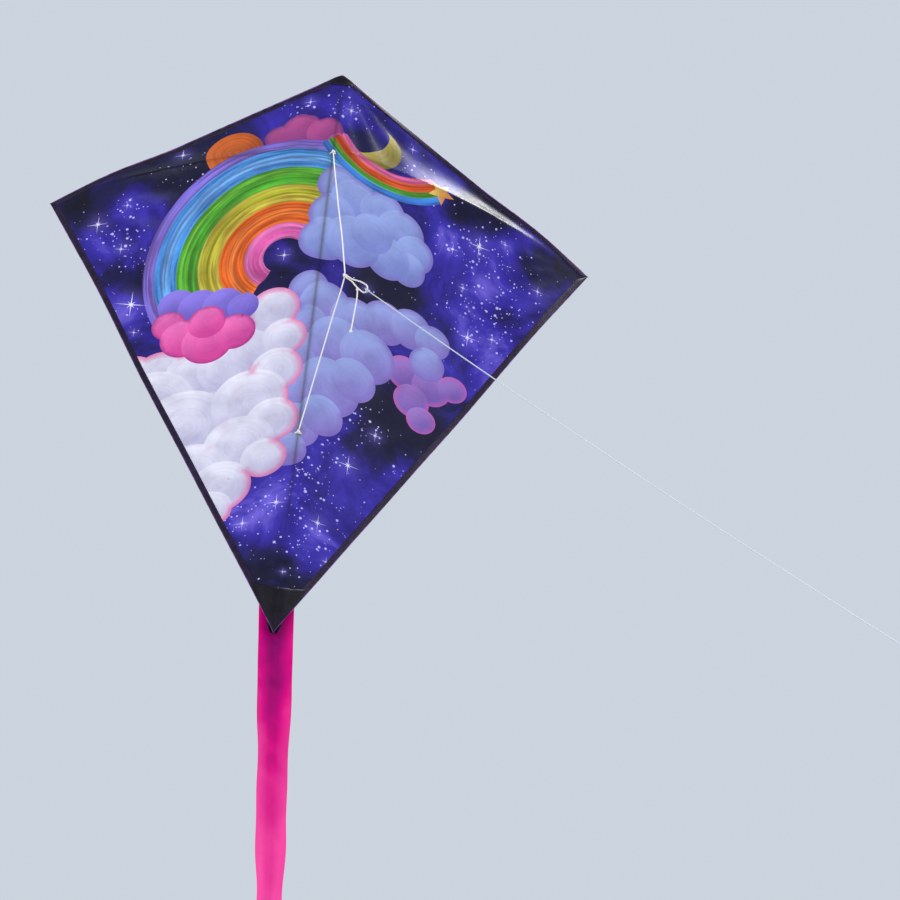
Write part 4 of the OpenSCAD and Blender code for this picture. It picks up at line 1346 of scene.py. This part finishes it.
class KITE_OT_corners(bpy.types.Operator):
    """Sew the black patches and the rod pockets on the corners"""

    bl_idname = "kite.corners"
    bl_label = "Corner patches and pockets"

    def execute(self, context):
        thick = context.scene.kite_sail.binding_thickness / MM / 2
        near, far = thick + PATCH_GAP, thick + PATCH_GAP + PATCH_T
        for side, way in SIDES.items():
            def nose_low(x):
                return NOSE_Z - NOSE_PATCH_DROP + 0.012 * x * x

            def nose_front_low(x):
                return NOSE_Z - NOSE_FRONT_DROP + 0.01 * x * x

            def tail_high(x):
                return TAIL_Z + TAIL_PATCH_RISE + 0.008 * x * x

            def tail_low(x):
                return np.minimum(low_z(x) + 0.8, tail_high(x) - 0.5)

            reach_nose = (NOSE_PATCH_DROP - 1) / (-TOP_SLOPE + 0.012 * END_PATCH_HALF) * 0.999
            reach_nose = min(END_PATCH_HALF + 6, reach_nose)
            nose_x, tail_x = way * reach_nose, way * END_PATCH_HALF * 1.45
            nose = patch_piece("nose_corner_" + side, [
                patch_shell(0, nose_x, nose_low, lambda x: top_z(x) - 0.8, near, far),
                patch_shell(0, nose_x / 2, nose_front_low, lambda x: top_z(x) - 0.8, -near, -far)])
            tail = patch_piece("tail_corner_" + side, [
                patch_shell(0, tail_x, tail_low, tail_high, near, far),
                patch_shell(0, tail_x, tail_low, tail_high, -near, -far)])
            inner, outer = way * (TIP_X - TIP_PATCH_LEN), way * (TIP_X - 3)
            tip = patch_piece("side_corner_" + side, [
                patch_shell(inner, outer, lambda x: np.maximum(low_z(x) + 0.8, spar_z(x) - TIP_PATCH_DROP),
                            lambda x: top_z(x) - 0.8, near, far, columns=18, rows=16)])
            for piece, node in ((nose, "nose_patch_"), (tail, "tail_patch_"), (tip, "tip_patch_")):
                on_wing(piece)
                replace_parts(piece, node + side)
            x = np.linspace(1, abs(tail_x) * 0.86, 16) * way
            rows = [on_cloth(x, tail_high(x) - 1.6, np.full_like(x, back * (far + 0.1))) for back in (-1, 1)]
            x = np.linspace(1, abs(nose_x) * 0.9, 16) * way
            rows += [on_cloth(x, nose_low(x) + 1.6, np.full_like(x, far + 0.1))]
            rows += [on_cloth(x / 2, nose_front_low(x / 2) + 1.4, np.full_like(x, -far - 0.1))]
            z = np.linspace(spar_z(abs(inner)) - TIP_PATCH_DROP + 2, top_z(inner) - 2, 16)
            x = np.full_like(z, inner + 1.5 * way)
            rows += [on_cloth(x, z, np.full_like(z, far + 0.1))]
            stitches = sew("corner_stitches_" + side, rows, "black thread")
            on_wing(stitches)
        for end in ("nose", "tail"):
            self.end_pocket(end, far)
        for side in SIDES:
            self.tip_pocket(side, far)
        return {"FINISHED"}

    def end_pocket(self, end, far):
        """A sleeve of cloth over one end of the spine, sewn down on both sides of it."""
        low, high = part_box(end + "_pocket")
        low_z_here, high_z_here = low.z / MM, high.z / MM
        radius = high.x / MM
        heights = np.linspace(low_z_here, high_z_here, 24)
        corner_z = NOSE_Z if end == "nose" else TAIL_Z
        half = 9.0
        outside, inside = [], []
        for z in heights:
            reach = min(half, 3.6 + 0.45 * abs(z - corner_z))
            row_out, row_in = [], []
            for k in range(15):
                u = -1 + 2 * k / 14
                x = reach * u
                base = float(sail_y(np.array(x), np.array(z))) + far + 0.5
                y = base
                if abs(x) < radius + 1.2:
                    y = max(base, math.sqrt(1 - (x / (radius + 1.2)) ** 2) * radius)
                row_out.append((x * MM, (y + 0.2) * MM, z * MM))
                row_in.append((x * MM, (y - 0.1) * MM, z * MM))
            outside.append(row_out)
            inside.append(row_in)
        points, faces = shell(np.array(outside), np.array(inside))
        piece = face_out(mesh_piece(end + "_sleeve", points, faces, material("corner")))
        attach(piece, "frame")
        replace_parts(piece, end + "_pocket")

    def tip_pocket(self, side, far):
        """A sleeve of cloth over the end of a spreader."""
        way = SIDES[side]
        radius = 3.1
        start = HALF_SPAN - TIP_PATCH_LEN
        end = HALF_SPAN - 10.0
        outside, inside = [], []
        for s in np.linspace(start, end, 20):
            angle = s / BOW_RADIUS
            centre = np.array(bow_point(angle))
            ahead = np.array(bow_point(angle + 0.002)) - centre
            ahead /= np.linalg.norm(ahead)
            closing = min(1.0, (end - s) / 4 + 0.35)
            cross = np.cross(ahead, [0, 0, 1])
            cross /= np.linalg.norm(cross)
            behind = -cross if cross[1] < 0 else cross
            upward = np.cross(behind, ahead)
            upward *= np.sign(upward[2])
            row_out, row_in = [], []
            for k in range(17):
                u = -1 + 2 * k / 16
                turn = u * math.radians(118)
                reach = radius * closing
                flare = 1 + 0.35 * max(0.0, abs(u) - 0.7) / 0.3
                for row, extra in ((row_out, 0.15), (row_in, -0.1)):
                    outwards = math.sin(turn) * upward + math.cos(turn) * behind
                    at = centre + (reach + extra) * flare * outwards
                    row.append((way * at[0] * MM, at[1] * MM, at[2] * MM))
            outside.append(row_out)
            inside.append(row_in)
        points, faces = shell(np.array(outside), np.array(inside))
        piece = face_out(mesh_piece("side_sleeve_" + side, points, faces, material("corner")))
        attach(piece, side + "_wing")
        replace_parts(piece, "tip_pocket_" + side)


# ---- Tail ----

RIBBON_BACK = 9.6
RIBBON_TOP = TAIL_Z + 44.0
RIBBON_LEN = 1200.0
HEADER = 14.0
# Where one length of ribbon meets the next, clear of the places that bend
RIBBON_SEAMS = (30.0, 485.0)


def ribbon_row(s, width, cup, columns=9):
    """Points across the ribbon at a distance s below its header, in millimetres."""
    sway = 12 * s / RIBBON_LEN * math.sin(2 * math.pi * s / 700)
    centre = np.array([0.087 * s, RIBBON_BACK + 0.03 * s + sway, RIBBON_TOP - s])
    turn = math.radians(40 * math.sin(2 * math.pi * s / 1800))
    across = np.array([math.cos(turn), math.sin(turn), 0.0])
    behind = np.array([-math.sin(turn), math.cos(turn), 0.0])
    grown = float(smooth(s / 80))
    row = []
    for k in range(columns):
        u = -1 + 2 * k / (columns - 1)
        curl = -cup * (u * u - 0.4) * grown
        ripple = 0.9 * grown * abs(u) * math.sin(2 * math.pi * s / 83 + (1.2 if u > 0 else 3.3))
        bend = 1.6 * grown * math.sin(2 * math.pi * s / 172 + 0.8) * u
        row.append(centre + u * width / 2 * across + (curl + ripple + bend) * behind)
    return row


class KITE_OT_tail(bpy.types.Operator):
    """Cut the ribbon tail, sew its header and hang it"""

    bl_idname = "kite.tail"
    bl_label = "Ribbon tail"

    def execute(self, context):
        settings = context.scene.kite_tail
        width = settings.ribbon_width / MM
        cup = settings.cup / MM
        spans = (
            ("ribbon_cloth_upper", -HEADER, RIBBON_SEAMS[0], "frame", "tail_upper", (-1.0, 8.0),
             ("ribbon_upper", "ribbon_header")),
            ("ribbon_cloth_middle", RIBBON_SEAMS[0], RIBBON_SEAMS[1], "tail_upper", "tail_middle",
             (245.0, 295.0), ("ribbon_middle",)),
            ("ribbon_cloth_lower", RIBBON_SEAMS[1], RIBBON_LEN, "tail_middle", "tail_lower",
             (675.0, 725.0), ("ribbon_lower",)),
        )
        for name, start, end, above, below, bend, nodes in spans:
            count = int((end - start) / 6) + 1
            places = np.linspace(start, end, count)
            rows = [ribbon_row(s, width, cup) for s in places]
            faces = [(i * 9 + j, i * 9 + j + 1, (i + 1) * 9 + j + 1, (i + 1) * 9 + j)
                     for i in range(count - 1) for j in range(8)]
            points = np.array(rows).reshape(-1, 3) * MM
            piece = mesh_piece(name, points, faces, material("ribbon"))
            crisp_edges(piece)
            name_map(piece, "ribbon",
                     [((-1 + k / 4) * width / 2 * MM, s * MM) for s in places for k in range(9)])
            solid = piece.modifiers.new("Ribbon thickness", "SOLIDIFY")
            solid.thickness = 0.3 * MM
            solid.offset = 0
            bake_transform(piece)
            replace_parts(piece, *nodes)
        front = -0.45
        rows = [[tuple(np.array((x, RIBBON_BACK + back, RIBBON_TOP + height)) * MM)
                 for x in np.linspace(-18, 18, 20)]
                for height in (2.5, 11.5) for back in (front, -front)]
        stitches = sew("header_stitches", rows, "pink thread", 2.6, 1.9)
        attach(stitches, "frame")
        self.tab()
        return {"FINISHED"}

    def tab(self):
        """The webbing tab between the tail's sleeve and the ribbon's header."""
        low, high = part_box("tail_tab")
        low, high = np.array(low), np.array(high)
        middle, half = (low + high) / 2, (high - low) / 2
        rows = []
        for k in range(9):
            v = -1 + k / 4
            squeeze = 1 - 0.18 * (1 - v * v)
            ring_points = []
            for j in range(16):
                turn = 2 * math.pi * j / 16
                x = math.copysign(abs(math.cos(turn)) ** 0.3, math.cos(turn)) * half[0] * squeeze
                z = math.copysign(abs(math.sin(turn)) ** 0.5, math.sin(turn)) * half[2]
                ring_points.append((middle[0] + x, middle[1] + v * half[1], middle[2] + z))
            rows += ring_points
        faces = [(i * 16 + j, i * 16 + (j + 1) % 16, (i + 1) * 16 + (j + 1) % 16, (i + 1) * 16 + j)
                 for i in range(8) for j in range(16)]
        faces += [tuple(range(16)), tuple(8 * 16 + j for j in reversed(range(16)))]
        piece = face_out(mesh_piece("tail_webbing", rows, faces, material("corner")))
        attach(piece, "frame")
        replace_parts(piece, "tail_tab")


# ---- Rods and fittings ----


class KITE_OT_fittings(bpy.types.Operator):
    """Finish the rods, the hub, its sleeves, the caps and the eyelet patches"""

    bl_idname = "kite.fittings"
    bl_label = "Rods and fittings"

    def execute(self, context):
        finishes = {"fibreglass": ["spine_rod", "spreader_left", "spreader_right"],
                    "vinyl": ["nose_cap", "tail_cap", "centre_hub", "hub_sleeve_left", "hub_sleeve_right",
                              "tip_cap_left", "tip_cap_right"],
                    "corner": ["upper_tie_patch", "lower_tie_patch"]}
        for name, nodes in finishes.items():
            for node in nodes:
                mesh = NODES[node].data
                mesh.materials.clear()
                mesh.materials.append(material(name))
        return {"FINISHED"}


class KITE_PT_panel(bpy.types.Panel):
    bl_label = "Kite"
    bl_idname = "KITE_PT_panel"
    bl_space_type = "VIEW_3D"
    bl_region_type = "UI"
    bl_category = "Kite"

    def draw(self, context):
        for name in SETTINGS:
            group = getattr(context.scene, name)
            for setting in group.__annotations__:
                self.layout.prop(group, setting)
        for step in STEPS:
            self.layout.operator(step.bl_idname)


STEPS = (KITE_OT_stage, KITE_OT_cords, KITE_OT_sail, KITE_OT_binding, KITE_OT_corners, KITE_OT_tail,
         KITE_OT_fittings)
CLASSES = tuple(SETTINGS.values()) + STEPS + (KITE_PT_panel,)


def register():
    for kind in CLASSES:
        bpy.utils.register_class(kind)
    for name, kind in SETTINGS.items():
        setattr(bpy.types.Scene, name, bpy.props.PointerProperty(type=kind))


def unregister():
    for name in SETTINGS:
        delattr(bpy.types.Scene, name)
    for kind in reversed(CLASSES):
        bpy.utils.unregister_class(kind)


def main():
    register()
    bpy.ops.kite.stage()
    bpy.ops.kite.cords()
    bpy.ops.kite.sail()
    bpy.ops.kite.binding()
    bpy.ops.kite.corners()
    bpy.ops.kite.tail()
    bpy.ops.kite.fittings()


if __name__ == "__main__":
    main()
